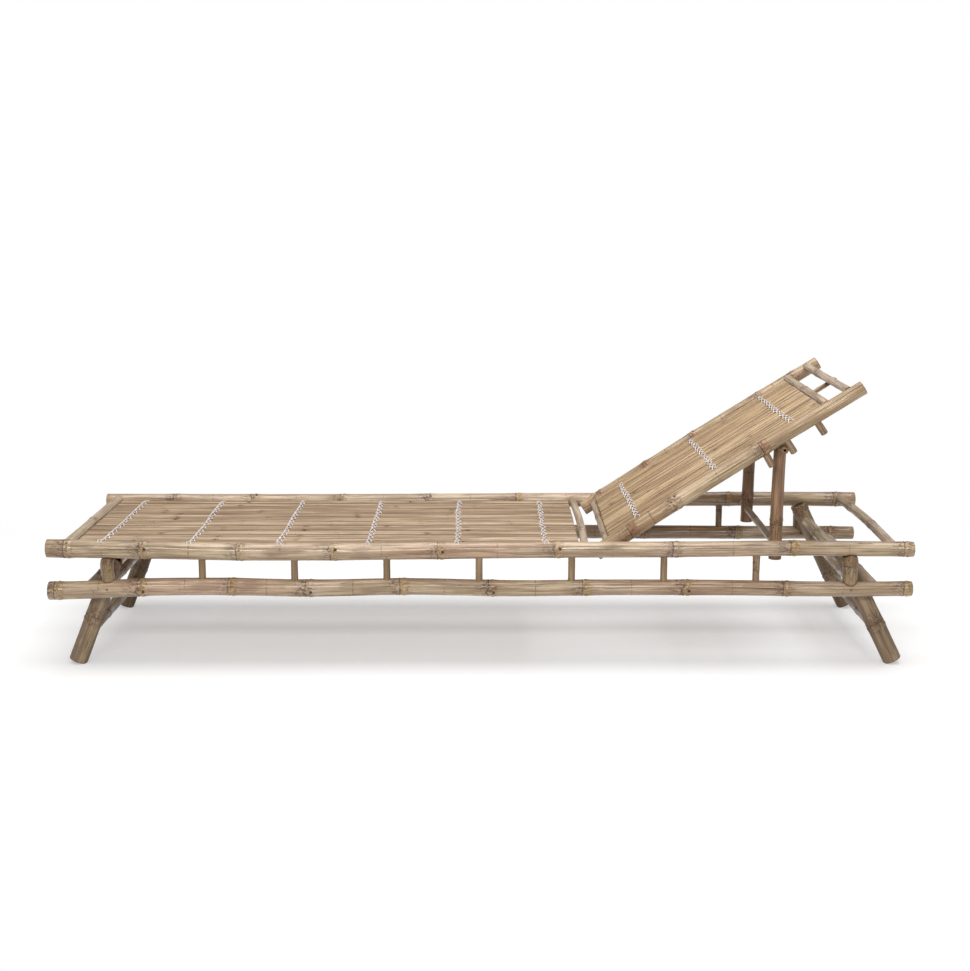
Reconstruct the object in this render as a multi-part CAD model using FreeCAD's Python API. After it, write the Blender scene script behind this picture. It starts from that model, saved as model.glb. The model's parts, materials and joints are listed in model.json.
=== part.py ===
import FreeCAD, Part
import math
import os

# Bamboo folding recliner. Two pole side frames carry a slatted deck, a slatted backrest
# that leans on a swinging prop stand, and two leg frames that fold under the deck.
# X runs along the recliner with the head end at +X, Y runs across it and Z is up.
# The origin is on the floor under the middle of the recliner. Sizes are in millimetres.
# The front side is at -Y and the back side at +Y.

Vector = FreeCAD.Vector
SIDES = {"front": -1, "back": 1}

# Side frames: a top and a lower rail on each side, foot end thicker than head end
recliner_length = 2000.0
side_spacing = 610.0
top_rail_height = 283.0
rail_gap = 89.0
rail_foot_radius = 21.0
rail_head_radius = 17.0
pole_wall = 6.0
rail_first_node = 36.0
rail_node_pitch = 240.0
node_rise = 1.1
node_width = 9.0
end_chamfer = 1.0

# Uprights between the rails
spindle_count = 7
spindle_pitch = 213.6
spindle_radius = 8.25
spindle_depth = 12.0
foot_post_inset = 139.0
head_post_inset = 144.0
foot_post_radius = 15.0
head_post_radius = 17.5
post_tenon_radius = 7.0
post_pin_radius = 3.0
post_pin_proud = 1.0

# Cross bars of the side frames
foot_bar_inset = 33.0
foot_bar_radius = 13.5
foot_bar_tenon_radius = 9.0
deck_bar_radius = 9.5
deck_bar_tenon_radius = 6.0
head_bar_inset = 43.0
head_bar_radius = 11.5
head_bar_tenon_radius = 6.5
end_bar_rise = 3.0
head_bar_rise = 6.0
stop_bar_radius = 12.5
stop_bar_drop = 10.0
stop_bar_tenon_radius = 6.5

# Deck: split bamboo boards on cross battens, bound down by rows of cord
deck_rise = 4.0
deck_side_gap = 8.0
deck_board_shares = (54, 74, 36, 64, 62, 85, 58, 59, 41)
board_thickness = 7.0
board_crown = 1.2
board_gap = 1.5
board_end_gap = 1.0
batten_radius = 8.0
batten_tenon_radius = 4.0
batten_tenon_rise = 3.0
deck_batten_pitch = 208.3
deck_batten_first = 89.5
cord_radius = 1.25
stitch_pitch = 40.0
stitch_bend = 2.6
stitch_edge = 14.0
stitch_hole_gap = 0.55

# Backrest, in its own axes: X up the slope from the hinge, Z square to it
hinge_from_head = 701.0
hinge_rise = 1.5
backrest_angle = 32.6
back_tail = 33.0
back_length = 689.0
back_foot_radius = 18.5
back_top_radius = 16.5
back_wall = 5.0
back_first_node = 120.0
back_node_pitch = 190.0
back_side_gap = 5.0
deck_bar_from_hinge = 56.0
back_axle_radius = 9.5
back_journal_radius = 7.0
back_bar_radius = 9.5
back_bar_tenon_radius = 5.5
back_bar_rise = 9.0
second_bar_from_top = 89.0
top_bar_from_top = 31.0
top_bar_node_place = 330.0
back_board_shares = (40, 26, 34, 78, 52, 30, 66, 46, 60)
back_board_top = 13.0
back_board_side_gap = 3.0
back_batten_places = (90.0, 303.0, 511.0)
spine_width = 26.0
spine_thickness = 8.0
spine_overlap = 9.0
spine_pin_radius = 1.5
spine_pin_depth = 14.0
peg_places = (421.0, 477.0, 558.0)
peg_radius = 7.5
peg_length = 28.0
peg_depth = 12.0
resting_peg = 1

# Prop stand: two poles on an axle, with a rod that carries the backrest
prop_axle_from_hinge = 399.0
prop_axle_drop = 6.0
prop_radius = 15.25
prop_wall = 5.0
prop_tail = 35.0
prop_head = 18.0
prop_leg_gap = 4.5
prop_axle_radius = 8.5
prop_journal_radius = 6.0
rod_radius = 8.0
rod_bore_radius = 3.2
rod_end_inset = 1.5

# Leg frames: two legs on an axle bar, with two more bars below it
axle_below_top_rail = 47.0
leg_top_radius = 20.5
leg_foot_radius = 22.0
leg_wall = 7.0
leg_side_gap = 5.0
leg_node_place = 150.0
leg_journal_radius = 6.5
leg_journal_past = 5.0
leg_bar_radius = 14.0
leg_bar_tenon_radius = 8.0
middle_bar_place = 57.0
lower_bar_place = 174.0
foot_flat = 2.2
foot_leg_lean = 21.5
head_leg_lean = 26.4
head_leg_top = 48.0
head_axle_offset = 6.0
foot_axle_offset = 0.0

# Clearances
glue_gap = 0.12
running_gap = 0.1
cope_gap = 0.15
shoulder_gap = 0.3
rest_gap = 0.3
drill_over = 0.8
tenon_stop = 7.0
batten_tenon_stop = 9.0
cope_share = 0.5

half_length = recliner_length / 2
side_y = side_spacing / 2
lower_rail_height = top_rail_height - rail_gap
axle_height = top_rail_height - axle_below_top_rail
foot_post_x = foot_post_inset - half_length
head_post_x = half_length - head_post_inset
hinge_x = half_length - hinge_from_head
hinge_z = top_rail_height + hinge_rise
deck_bar_x = hinge_x - deck_bar_from_hinge
foot_bar_x = foot_bar_inset - half_length
head_bar_x = half_length - head_bar_inset
board_top = top_rail_height + deck_rise
prop_axle_x = hinge_x + prop_axle_from_hinge
prop_axle_z = top_rail_height - prop_axle_drop
leg_y = side_y - rail_foot_radius - leg_side_gap - leg_foot_radius
second_bar_place = back_length - second_bar_from_top
top_bar_place = back_length - top_bar_from_top


def cylinder(start, end, radius):
    """Solid round rod from one point to another."""
    return Part.makeCylinder(radius, (end - start).Length, start, end - start)


def node_places(length, first, pitch):
    """Distances of a pole's nodes from its start, a pitch apart and clear of its far end."""
    places = []
    place = first
    while place < length - node_width - end_chamfer:
        places.append(place)
        place += pitch
    return places


class Pole:
    """A straight bamboo pole that tapers and swells a little at each node."""

    def __init__(self, start, end, start_radius, end_radius, wall=0.0, nodes=()):
        self.start = start
        self.length = (end - start).Length
        self.direction = (end - start) / self.length
        self.start_radius = start_radius
        self.end_radius = end_radius
        self.wall = wall
        self.nodes = nodes
        self.cutters = []

    def radius(self, place):
        """Radius of the pole between its nodes, at a distance from its start."""
        share = place / self.length
        return self.start_radius + share * (self.end_radius - self.start_radius)

    def revolved(self, inner_start, inner_end, grow):
        """The pole's section turned about its axis, from an inner to an outer radius."""
        def point(radius, place):
            return Vector(radius, 0, place)

        chamfer = end_chamfer
        outer = [point(self.radius(0) + grow - chamfer, 0), point(self.radius(0) + grow, chamfer)]
        edges = [Part.makeLine(point(inner_start, 0), outer[0]), Part.makeLine(outer[0], outer[1])]
        last = outer[1]
        for node in self.nodes:
            below = node - node_width / 2
            above = node + node_width / 2
            before = point(self.radius(below) + grow, below)
            crest = point(self.radius(node) + grow + node_rise, node)
            after = point(self.radius(above) + grow, above)
            edges.append(Part.makeLine(last, before))
            edges.append(Part.Arc(before, crest, after).toShape())
            last = after
        rim = point(self.radius(self.length) + grow, self.length - chamfer)
        lip = point(self.radius(self.length) + grow - chamfer, self.length)
        inner = point(inner_end, self.length)
        edges.append(Part.makeLine(last, rim))
        edges.append(Part.makeLine(rim, lip))
        edges.append(Part.makeLine(lip, inner))
        edges.append(Part.makeLine(inner, point(inner_start, 0)))
        shape = Part.Face(Part.Wire(edges)).revolve(Vector(0, 0, 0), Vector(0, 0, 1), 360)
        turn = FreeCAD.Rotation(Vector(0, 0, 1), self.direction)
        shape.Placement = FreeCAD.Placement(self.start, turn)
        return shape

    def outside(self, grow=0.0):
        """The pole without its bore, grown all round by a clearance."""
        return self.revolved(0.0, 0.0, grow)

    def drill(self, start, end, radius):
        """Note a round hole to be cut in the pole."""
        self.cutters.append(cylinder(start, end, radius))

    def solid(self):
        """The pole with its bore and all its holes."""
        if self.wall > 0:
            shape = self.revolved(self.start_radius - self.wall, self.end_radius - self.wall, 0.0)
        else:
            shape = self.outside()
        if self.cutters:
            shape = shape.cut(self.cutters)
        return shape.Solids[0]


def cross_bar(x, z, radius, tenon_radius, mates, mate_y, mate_radius, nodes=(), stop=tenon_stop):
    """A bar across the recliner, coped round the pole at each end, with a tenon into each.

    mates holds the two poles by side. stop is where a tenon ends, short of the pole's axis.
    """
    shoulder = mate_y - mate_radius * cope_share
    body = Pole(Vector(x, -shoulder, z), Vector(x, shoulder, z), radius, radius, nodes=nodes)
    shape = body.outside().cut([mate.outside(cope_gap) for mate in mates.values()])
    reach = mate_y - stop
    shape = shape.fuse(cylinder(Vector(x, -reach, z), Vector(x, reach, z), tenon_radius))
    for side, sign in SIDES.items():
        inside = Vector(x, sign * (mate_y - 2 * mate_radius), z)
        bottom = Vector(x, sign * (reach + drill_over), z)
        mates[side].drill(inside, bottom, tenon_radius + glue_gap)
    return max(shape.Solids, key=lambda solid: solid.Volume)


def batten(x, z, mates, mate_y, mate_radius):
    """A thin bar under the boards, with flat shoulders and a small raised tenon at each end."""
    shoulder = mate_y - mate_radius - node_rise - shoulder_gap
    reach = mate_y - batten_tenon_stop
    tenon_z = z + batten_tenon_rise
    body = cylinder(Vector(x, -shoulder, z), Vector(x, shoulder, z), batten_radius)
    tenon = cylinder(Vector(x, -reach, tenon_z), Vector(x, reach, tenon_z), batten_tenon_radius)
    for side, sign in SIDES.items():
        inside = Vector(x, sign * (mate_y - mate_radius - 2 * node_rise), tenon_z)
        bottom = Vector(x, sign * (reach + drill_over), tenon_z)
        mates[side].drill(inside, bottom, batten_tenon_radius + glue_gap)
    return body.fuse(tenon).removeSplitter().Solids[0]


def boards(shares, width, start, end, top, holes):
    """Split bamboo boards side by side, with a flat underside and a slightly crowned top.

    The shares are the boards' relative widths, from the front to the back. The holes are
    the (x, y) places where the lashing cords pass down through the boards.
    """
    unit = (width - board_gap * (len(shares) - 1)) / sum(shares)
    hole_radius = cord_radius + stitch_hole_gap
    bottom = top - board_thickness
    result = []
    edge = -width / 2
    for share in shares:
        far = edge + share * unit
        middle = (edge + far) / 2
        low_near = Vector(start, edge, bottom)
        low_far = Vector(start, far, bottom)
        high_near = Vector(start, edge, top - board_crown)
        high_far = Vector(start, far, top - board_crown)
        section = Part.Wire([
            Part.makeLine(low_near, low_far),
            Part.makeLine(low_far, high_far),
            Part.Arc(high_far, Vector(start, middle, top), high_near).toShape(),
            Part.makeLine(high_near, low_near),
        ])
        shape = Part.Face(section).extrude(Vector(end - start, 0, 0))
        cutters = []
        for x, y in holes:
            if edge - hole_radius < y < far + hole_radius:
                low = Vector(x, y, bottom - drill_over)
                cutters.append(cylinder(low, Vector(x, y, top + drill_over), hole_radius))
        if cutters:
            shape = shape.cut(cutters)
        result.append(max(shape.Solids, key=lambda solid: solid.Volume))
        edge = far + board_gap
    return result


def stitch_row(width):
    """Places across the recliner where the cord passes through the boards, at most 24 loops."""
    count = min(24, int((width - 2 * stitch_edge) / stitch_pitch))
    return [(index - count / 2) * stitch_pitch for index in range(count + 1)]


def stitch_reach():
    """Distance from the batten's middle to the cord's centre line beside it and under it."""
    return batten_radius + cord_radius + rest_gap


def stitch_holes(x, row):
    """Holes of one lashing: up on the foot side, down on the head side one stitch further on."""
    reach = stitch_reach()
    return [(x - reach, y) for y in row[:-1]] + [(x + reach, y) for y in row[1:]]


def rounded_path(corners, bend):
    """Wire of straight runs joined by tangent arcs of one radius at the corners."""
    edges = []
    last = corners[0]
    for before, corner, after in zip(corners, corners[1:], corners[2:]):
        into = (corner - before).normalize()
        out = (after - corner).normalize()
        turn = into.getAngle(out)
        back = bend * math.tan(turn / 2)
        inward = (out - into).normalize()
        start = corner - into * back
        end = corner + out * back
        middle = corner + inward * (bend / math.cos(turn / 2) - bend)
        edges.append(Part.makeLine(last, start))
        edges.append(Part.Arc(start, middle, end).toShape())
        last = end
    edges.append(Part.makeLine(last, corners[-1]))
    return Part.Wire(edges)


def least_gap(wire, diameter):
    """Least distance between parts of a cord that are over half a loop apart along it."""
    step = 3 * cord_radius
    points = wire.discretize(Distance=step)
    apart = int(2 * (batten_radius + board_thickness) / step) + 1
    least = min(
        (first - second).Length
        for index, first in enumerate(points)
        for second in points[index + apart:]
    )
    return least - diameter


def lashing(x, batten_z, top, row):
    """One unbroken cord that winds round the batten and crosses the boards between holes."""
    reach = stitch_reach()
    low = batten_z - reach
    high = top + cord_radius + rest_gap
    corners = [Vector(x - reach, row[0], batten_z - batten_radius)]
    for near, far in zip(row, row[1:]):
        corners.append(Vector(x - reach, near, high))
        corners.append(Vector(x + reach, far, high))
        corners.append(Vector(x + reach, far, low))
        corners.append(Vector(x - reach, far, low))
    corners.pop()
    corners[-1] = Vector(x + reach, row[-1], batten_z - batten_radius)
    path = rounded_path(corners, stitch_bend)
    ring = Part.Wire([Part.makeCircle(cord_radius, corners[0], Vector(0, 0, 1))])
    cord = path.makePipeShell([ring], True, False)
    return cord.Solids[0], path


def report_cord(name, cord, path):
    """Print a cord's length, its least gap to itself and its volume against its section."""
    expected = math.pi * cord_radius ** 2 * path.Length
    gap = least_gap(path, 2 * cord_radius)
    print("%s: cord %.0f mm, least gap to itself %.2f mm, volume ratio %.4f"
          % (name, path.Length, gap, cord.Volume / expected))


def make_rails():
    """Top and lower rails of both sides, by side."""
    nodes = node_places(recliner_length, rail_first_node, rail_node_pitch)
    rails = {}
    for level, height in (("top", top_rail_height), ("lower", lower_rail_height)):
        rails[level] = {}
        for side, sign in SIDES.items():
            start = Vector(-half_length, sign * side_y, height)
            end = Vector(half_length, sign * side_y, height)
            rails[level][side] = Pole(start, end, rail_foot_radius, rail_head_radius, pole_wall, nodes)
    return rails


def rail_radius(x):
    """Radius of a rail at a place along the recliner."""
    share = (x + half_length) / recliner_length
    return rail_foot_radius + share * (rail_head_radius - rail_foot_radius)


def spindles(rails, side):
    """The row of thin uprights of one side, each let into both rails."""
    y = SIDES[side] * side_y
    middle = (foot_post_x + head_post_x) / 2
    result = []
    for index in range(spindle_count):
        x = middle + (index - (spindle_count - 1) / 2) * spindle_pitch
        depth = rail_radius(x) - spindle_depth
        low = Vector(x, y, lower_rail_height + depth)
        high = Vector(x, y, top_rail_height - depth)
        over = Vector(0, 0, drill_over)
        through = Vector(0, 0, 2 * spindle_depth)
        rails["lower"][side].drill(low - over, low + through, spindle_radius + glue_gap)
        rails["top"][side].drill(high - through, high + over, spindle_radius + glue_gap)
        result.append(cylinder(low, high, spindle_radius))
    return result


def post(rails, side, x, radius, axle_x):
    """A stout upright coped between the rails, tenoned into both and pinned at the bottom.

    It carries one end of a leg axle in a blind hole. Returns the post and its pin.
    """
    sign = SIDES[side]
    y = sign * side_y
    rail = rail_radius(x)
    trim = rail * cope_share
    low = Vector(x, y, lower_rail_height + trim)
    high = Vector(x, y, top_rail_height - trim)
    body = Pole(low, high, radius, radius)
    shape = body.outside().cut([rails["lower"][side].outside(cope_gap),
                                rails["top"][side].outside(cope_gap)])
    foot = Vector(x, y, lower_rail_height - tenon_stop)
    head = Vector(x, y, top_rail_height - tenon_stop)
    over = Vector(0, 0, drill_over)
    shape = shape.fuse(cylinder(foot, head, post_tenon_radius))
    rails["lower"][side].drill(foot - over, foot + Vector(0, 0, 2 * rail), post_tenon_radius + glue_gap)
    rails["top"][side].drill(head - Vector(0, 0, 2 * rail), head + over, post_tenon_radius + glue_gap)

    axle_in = Vector(axle_x, y - sign * 2 * radius, axle_height)
    axle_end = Vector(axle_x, y + sign * (leg_journal_past + drill_over), axle_height)
    axle_hole = cylinder(axle_in, axle_end, leg_journal_radius + running_gap)

    pin_out = Vector(x, y + sign * (rail + post_pin_proud), lower_rail_height)
    pin_in = Vector(x, y - sign * (post_tenon_radius + post_pin_proud), lower_rail_height)
    beyond = Vector(0, sign * drill_over, 0)
    rails["lower"][side].drill(pin_in - beyond, pin_out + beyond, post_pin_radius + glue_gap)
    pin_hole = cylinder(pin_in - beyond, pin_out + beyond, post_pin_radius + glue_gap)
    shape = shape.cut([axle_hole, pin_hole])
    upright = max(shape.Solids, key=lambda solid: solid.Volume)
    return upright, cylinder(pin_in, pin_out, post_pin_radius)


def deck_batten_places():
    """Places of the battens along the deck, counted back from its head end."""
    first = deck_bar_x - deck_batten_first
    count = int((first - foot_bar_x) / deck_batten_pitch) + 1
    return [first - index * deck_batten_pitch for index in reversed(range(count))]


def leg_frame(end, outward, axle_x, lean):
    """One folding pair of legs with its three bars, built hanging straight down, then leant.

    outward is the way that the feet lean, -1 at the foot end and 1 at the head end.
    """
    slope = math.radians(lean)
    foot = (axle_height + foot_flat - leg_foot_radius * math.sin(slope)) / math.cos(slope)
    top = head_leg_top if outward > 0 else leg_top_radius
    node = top + leg_node_place
    legs = {}
    for side, sign in SIDES.items():
        start = Vector(0, sign * leg_y, top)
        finish = Vector(0, sign * leg_y, -foot)
        legs[side] = Pole(start, finish, leg_top_radius, leg_foot_radius, leg_wall, (node,))

    parts = {}
    journal = side_y + leg_journal_past
    axle = cross_bar(0, 0, leg_bar_radius, leg_journal_radius, legs, leg_y, leg_foot_radius)
    axle = axle.fuse(cylinder(Vector(0, -journal, 0), Vector(0, journal, 0), leg_journal_radius))
    parts[end + "_leg_axle_bar"] = axle.removeSplitter().Solids[0]
    for side, sign in SIDES.items():
        inside = Vector(0, sign * (leg_y - 2 * leg_foot_radius), 0)
        legs[side].drill(inside, Vector(0, sign * side_y, 0), leg_journal_radius + glue_gap)
    for name, place in (("middle", middle_bar_place), ("lower", lower_bar_place)):
        parts[end + "_leg_" + name + "_bar"] = cross_bar(
            0, -place, leg_bar_radius, leg_bar_tenon_radius, legs, leg_y, leg_foot_radius)

    size = leg_foot_radius + node_rise
    for side, sign in SIDES.items():
        leg = legs[side].solid()
        if outward < 0:
            block = Part.makeBox(4 * size, 4 * size, 2 * size,
                                 Vector(-2 * size, sign * leg_y - 2 * size, 0))
            drum = cylinder(Vector(0, sign * leg_y - 3 * size, 0),
                            Vector(0, sign * leg_y + 3 * size, 0), leg_top_radius)
            leg = leg.cut(block.cut(drum))
        parts[end + "_leg_" + side] = leg

    turn = FreeCAD.Rotation(Vector(0, -outward, 0), lean)
    stand = FreeCAD.Placement(Vector(axle_x, 0, axle_height), turn)
    floor = Part.makeBox(recliner_length * 2, side_spacing * 2, foot_flat * 10,
                         Vector(-recliner_length, -side_spacing, -foot_flat * 10))
    for name in parts:
        parts[name] = placed(parts[name], stand)
        if name.endswith(("front", "back")):
            parts[name] = parts[name].cut(floor).Solids[0]
    return parts


def placed(shape, placement):
    """A copy of a shape moved rigidly by a placement."""
    copy = shape.copy()
    copy.Placement = placement.multiply(copy.Placement)
    return copy


def stop_bar(rails, outward, axle_x, lean):
    """The bar across the lower rails that the legs of one end rest against."""
    slope = math.radians(lean)
    z = lower_rail_height - stop_bar_drop
    drop = axle_height - z
    clear = leg_foot_radius + stop_bar_radius + rest_gap
    x = axle_x + outward * (math.tan(slope) * drop + clear / math.cos(slope))
    return cross_bar(x, z, stop_bar_radius, stop_bar_tenon_radius, rails["lower"], side_y, rail_radius(x))


def make_deck(rails):
    """Boards, battens and lashings between the foot bar and the bar at the backrest."""
    width = 2 * (side_y - rail_foot_radius - deck_side_gap)
    row = stitch_row(width)
    places = deck_batten_places()
    holes = [hole for x in places for hole in stitch_holes(x, row)]
    start = foot_bar_x + foot_bar_radius + board_end_gap
    end = deck_bar_x - deck_bar_radius - board_end_gap
    deck = boards(deck_board_shares, width, start, end, board_top, holes)
    batten_z = board_top - board_thickness - cope_gap - batten_radius
    battens = [batten(x, batten_z, rails["top"], side_y, rail_radius(x)) for x in places]
    cords = []
    for x in places:
        cord, path = lashing(x, batten_z, board_top, row)
        report_cord("deck lashing", cord, path)
        cords.append(cord)
    parts = {"deck_board_%d" % (index + 1): board for index, board in enumerate(deck)}
    parts["deck_battens"] = Part.makeCompound(battens)
    parts["deck_lashings"] = Part.makeCompound(cords)
    return parts


def back_rail_y():
    """Distance of a backrest pole's axis from the middle of the recliner."""
    return side_y - rail_radius(hinge_x) - node_rise - back_side_gap - back_foot_radius


def back_rail_radius(place):
    """Radius of a backrest pole at a distance up the slope from the hinge."""
    share = (place + back_tail) / (back_length + back_tail)
    return back_foot_radius + share * (back_top_radius - back_foot_radius)


def backrest_parts(rails):
    """The backrest lying flat with its hinge at the origin, and then leant back."""
    y = back_rail_y()
    nodes = node_places(back_length + back_tail, back_first_node, back_node_pitch)
    poles = {}
    for side, sign in SIDES.items():
        start = Vector(-back_tail, sign * y, 0)
        end = Vector(back_length, sign * y, 0)
        poles[side] = Pole(start, end, back_foot_radius, back_top_radius, back_wall, nodes)

    parts = {}
    axle = cross_bar(0, 0, back_axle_radius, back_journal_radius, poles, y, back_rail_radius(0))
    journal = side_y - tenon_stop
    spindle = cylinder(Vector(0, -journal, 0), Vector(0, journal, 0), back_journal_radius)
    parts["back_axle_bar"] = axle.fuse(spindle).removeSplitter().Solids[0]
    for side, sign in SIDES.items():
        inside = Vector(0, sign * (y - 2 * back_foot_radius), 0)
        poles[side].drill(inside, Vector(0, sign * side_y, 0), back_journal_radius + glue_gap)
        rails["top"][side].drill(Vector(hinge_x, sign * (side_y - 2 * rail_foot_radius), hinge_z),
                                 Vector(hinge_x, sign * (journal + drill_over), hinge_z),
                                 back_journal_radius + running_gap)

    for name, place in (("second", second_bar_place), ("top", top_bar_place)):
        parts["back_%s_bar" % name] = cross_bar(
            place, back_bar_rise, back_bar_radius, back_bar_tenon_radius, poles, y,
            back_rail_radius(place), (top_bar_node_place,) if name == "top" else ())

    width = 2 * (y - back_foot_radius - node_rise - back_board_side_gap)
    row = stitch_row(width)
    holes = [hole for x in back_batten_places for hole in stitch_holes(x, row)]
    start = back_axle_radius + board_end_gap
    end = second_bar_place - back_bar_radius - board_end_gap
    slats = boards(back_board_shares, width, start, end, back_board_top, holes)
    for index, slat in enumerate(slats):
        parts["back_board_%d" % (index + 1)] = slat
    batten_z = back_board_top - board_thickness - cope_gap - batten_radius
    battens = []
    cords = []
    for x in back_batten_places:
        battens.append(batten(x, batten_z, poles, y, back_rail_radius(x)))
        cord, path = lashing(x, batten_z, back_board_top, row)
        report_cord("backrest lashing", cord, path)
        cords.append(cord)
    parts["back_battens"] = Part.makeCompound(battens)
    parts["back_lashings"] = Part.makeCompound(cords)

    spine_top = back_bar_rise - back_bar_radius - cope_gap
    spine_start = second_bar_place - back_bar_radius - spine_overlap
    spine_end = top_bar_place + back_bar_radius + spine_overlap
    corner = Vector(spine_start, -spine_width / 2, spine_top - spine_thickness)
    spine = Part.makeBox(spine_end - spine_start, spine_width, spine_thickness, corner)
    pins = []
    for place in (second_bar_place, top_bar_place):
        low = Vector(place, 0, spine_top - spine_thickness)
        high = low + Vector(0, 0, spine_pin_depth)
        hole = cylinder(low, high + Vector(0, 0, drill_over), spine_pin_radius + glue_gap)
        spine = spine.cut(hole)
        name = "back_second_bar" if place == second_bar_place else "back_top_bar"
        parts[name] = parts[name].cut(hole).Solids[0]
        pins.append(cylinder(low, high, spine_pin_radius))
    parts["back_spine"] = spine.Solids[0]
    parts["back_spine_pins"] = Part.makeCompound(pins)

    pegs = []
    for side, sign in SIDES.items():
        for place in peg_places:
            radius = back_rail_radius(place)
            top = Vector(place, sign * y, peg_depth - radius)
            bottom = Vector(place, sign * y, -radius - peg_length)
            poles[side].drill(top + Vector(0, 0, drill_over), bottom, peg_radius + glue_gap)
            pegs.append(cylinder(bottom, top, peg_radius))
    parts["back_pegs"] = Part.makeCompound(pegs)
    for side, pole in poles.items():
        parts["back_rail_" + side] = pole.solid()

    lean = FreeCAD.Rotation(Vector(0, -1, 0), backrest_angle)
    hinge = FreeCAD.Placement(Vector(hinge_x, 0, hinge_z), lean)
    return {name: placed(shape, hinge) for name, shape in parts.items()}


def rod_place():
    """Where the prop's rod lies: under the backrest poles and against the resting peg."""
    peg = peg_places[resting_peg]
    along = peg - peg_radius - rod_radius - rest_gap
    below = back_rail_radius(along) + rod_radius + rest_gap
    slope = math.radians(backrest_angle)
    x = hinge_x + along * math.cos(slope) + below * math.sin(slope)
    z = hinge_z + along * math.sin(slope) - below * math.cos(slope)
    return Vector(x, 0, z)


def prop_parts(rails):
    """The prop stand standing upright on its axle at the origin, and then set to the rod."""
    axle_place = Vector(prop_axle_x, 0, prop_axle_z)
    arm = rod_place() - axle_place
    reach = arm.Length
    y = leg_y - leg_foot_radius - prop_leg_gap - prop_radius
    poles = {}
    for side, sign in SIDES.items():
        start = Vector(0, sign * y, -prop_tail)
        end = Vector(0, sign * y, reach + prop_head)
        poles[side] = Pole(start, end, prop_radius, prop_radius, prop_wall)
        through = Vector(0, sign * prop_radius * 2, 0)
        for height, radius in ((0, prop_axle_radius), (reach, rod_radius)):
            middle = Vector(0, sign * y, height)
            poles[side].drill(middle - through, middle + through, radius + glue_gap)

    shoulder = side_y - rail_foot_radius - node_rise - shoulder_gap
    journal = side_y - tenon_stop
    axle = cylinder(Vector(0, -shoulder, 0), Vector(0, shoulder, 0), prop_axle_radius)
    spindle = cylinder(Vector(0, -journal, 0), Vector(0, journal, 0), prop_journal_radius)
    for side, sign in SIDES.items():
        beyond = Vector(prop_axle_x, sign * (journal + drill_over), prop_axle_z)
        inside = Vector(prop_axle_x, sign * (side_y - 2 * rail_foot_radius), prop_axle_z)
        rails["top"][side].drill(inside, beyond, prop_journal_radius + running_gap)
    half_rod = back_rail_y() + back_top_radius - rod_end_inset
    rod = cylinder(Vector(0, -half_rod, reach), Vector(0, half_rod, reach), rod_radius)
    bore = cylinder(Vector(0, -half_rod, reach), Vector(0, half_rod, reach), rod_bore_radius)

    parts = {"prop_pole_" + side: pole.solid() for side, pole in poles.items()}
    parts["prop_axle_bar"] = axle.fuse(spindle).removeSplitter().Solids[0]
    parts["prop_rod"] = rod.cut(bore).Solids[0]
    turn = FreeCAD.Rotation(Vector(0, 0, 1), arm)
    stand = FreeCAD.Placement(axle_place, turn)
    return {name: placed(shape, stand) for name, shape in parts.items()}


def build():
    """Every piece of the recliner by its name."""
    rails = make_rails()
    parts = {}
    parts["foot_end_bar"] = cross_bar(
        foot_bar_x, top_rail_height + end_bar_rise, foot_bar_radius, foot_bar_tenon_radius,
        rails["top"], side_y, rail_radius(foot_bar_x))
    parts["deck_end_bar"] = cross_bar(
        deck_bar_x, top_rail_height + end_bar_rise, deck_bar_radius, deck_bar_tenon_radius,
        rails["top"], side_y, rail_radius(deck_bar_x))
    parts["head_end_bar"] = cross_bar(
        head_bar_x, top_rail_height + head_bar_rise, head_bar_radius, head_bar_tenon_radius,
        rails["top"], side_y, rail_radius(head_bar_x))

    ends = (("foot", -1, foot_post_x, foot_post_radius, foot_axle_offset, foot_leg_lean),
            ("head", 1, head_post_x, head_post_radius, head_axle_offset, head_leg_lean))
    pins = []
    for end, outward, post_x, radius, offset, lean in ends:
        axle_x = post_x + offset
        for side in SIDES:
            upright, pin = post(rails, side, post_x, radius, axle_x)
            parts[end + "_post_" + side] = upright
            pins.append(pin)
        parts[end + "_stop_bar"] = stop_bar(rails, outward, axle_x, lean)
        parts.update(leg_frame(end, outward, axle_x, lean))
    parts["post_pins"] = Part.makeCompound(pins)
    for side in SIDES:
        parts["spindles_" + side] = Part.makeCompound(spindles(rails, side))

    parts.update(make_deck(rails))
    parts.update(backrest_parts(rails))
    parts.update(prop_parts(rails))
    for level, pair in rails.items():
        for side, pole in pair.items():
            parts["%s_rail_%s" % (level, side)] = pole.solid()
    return parts


os.makedirs("parts", exist_ok=True)
for part_name, part_shape in build().items():
    part_shape.exportStep("parts/%s.step" % part_name)
    print("%-24s solids %d valid %s volume %.0f"
          % (part_name, len(part_shape.Solids), part_shape.isValid(), part_shape.Volume))
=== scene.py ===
import json
import math
import zlib

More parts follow.
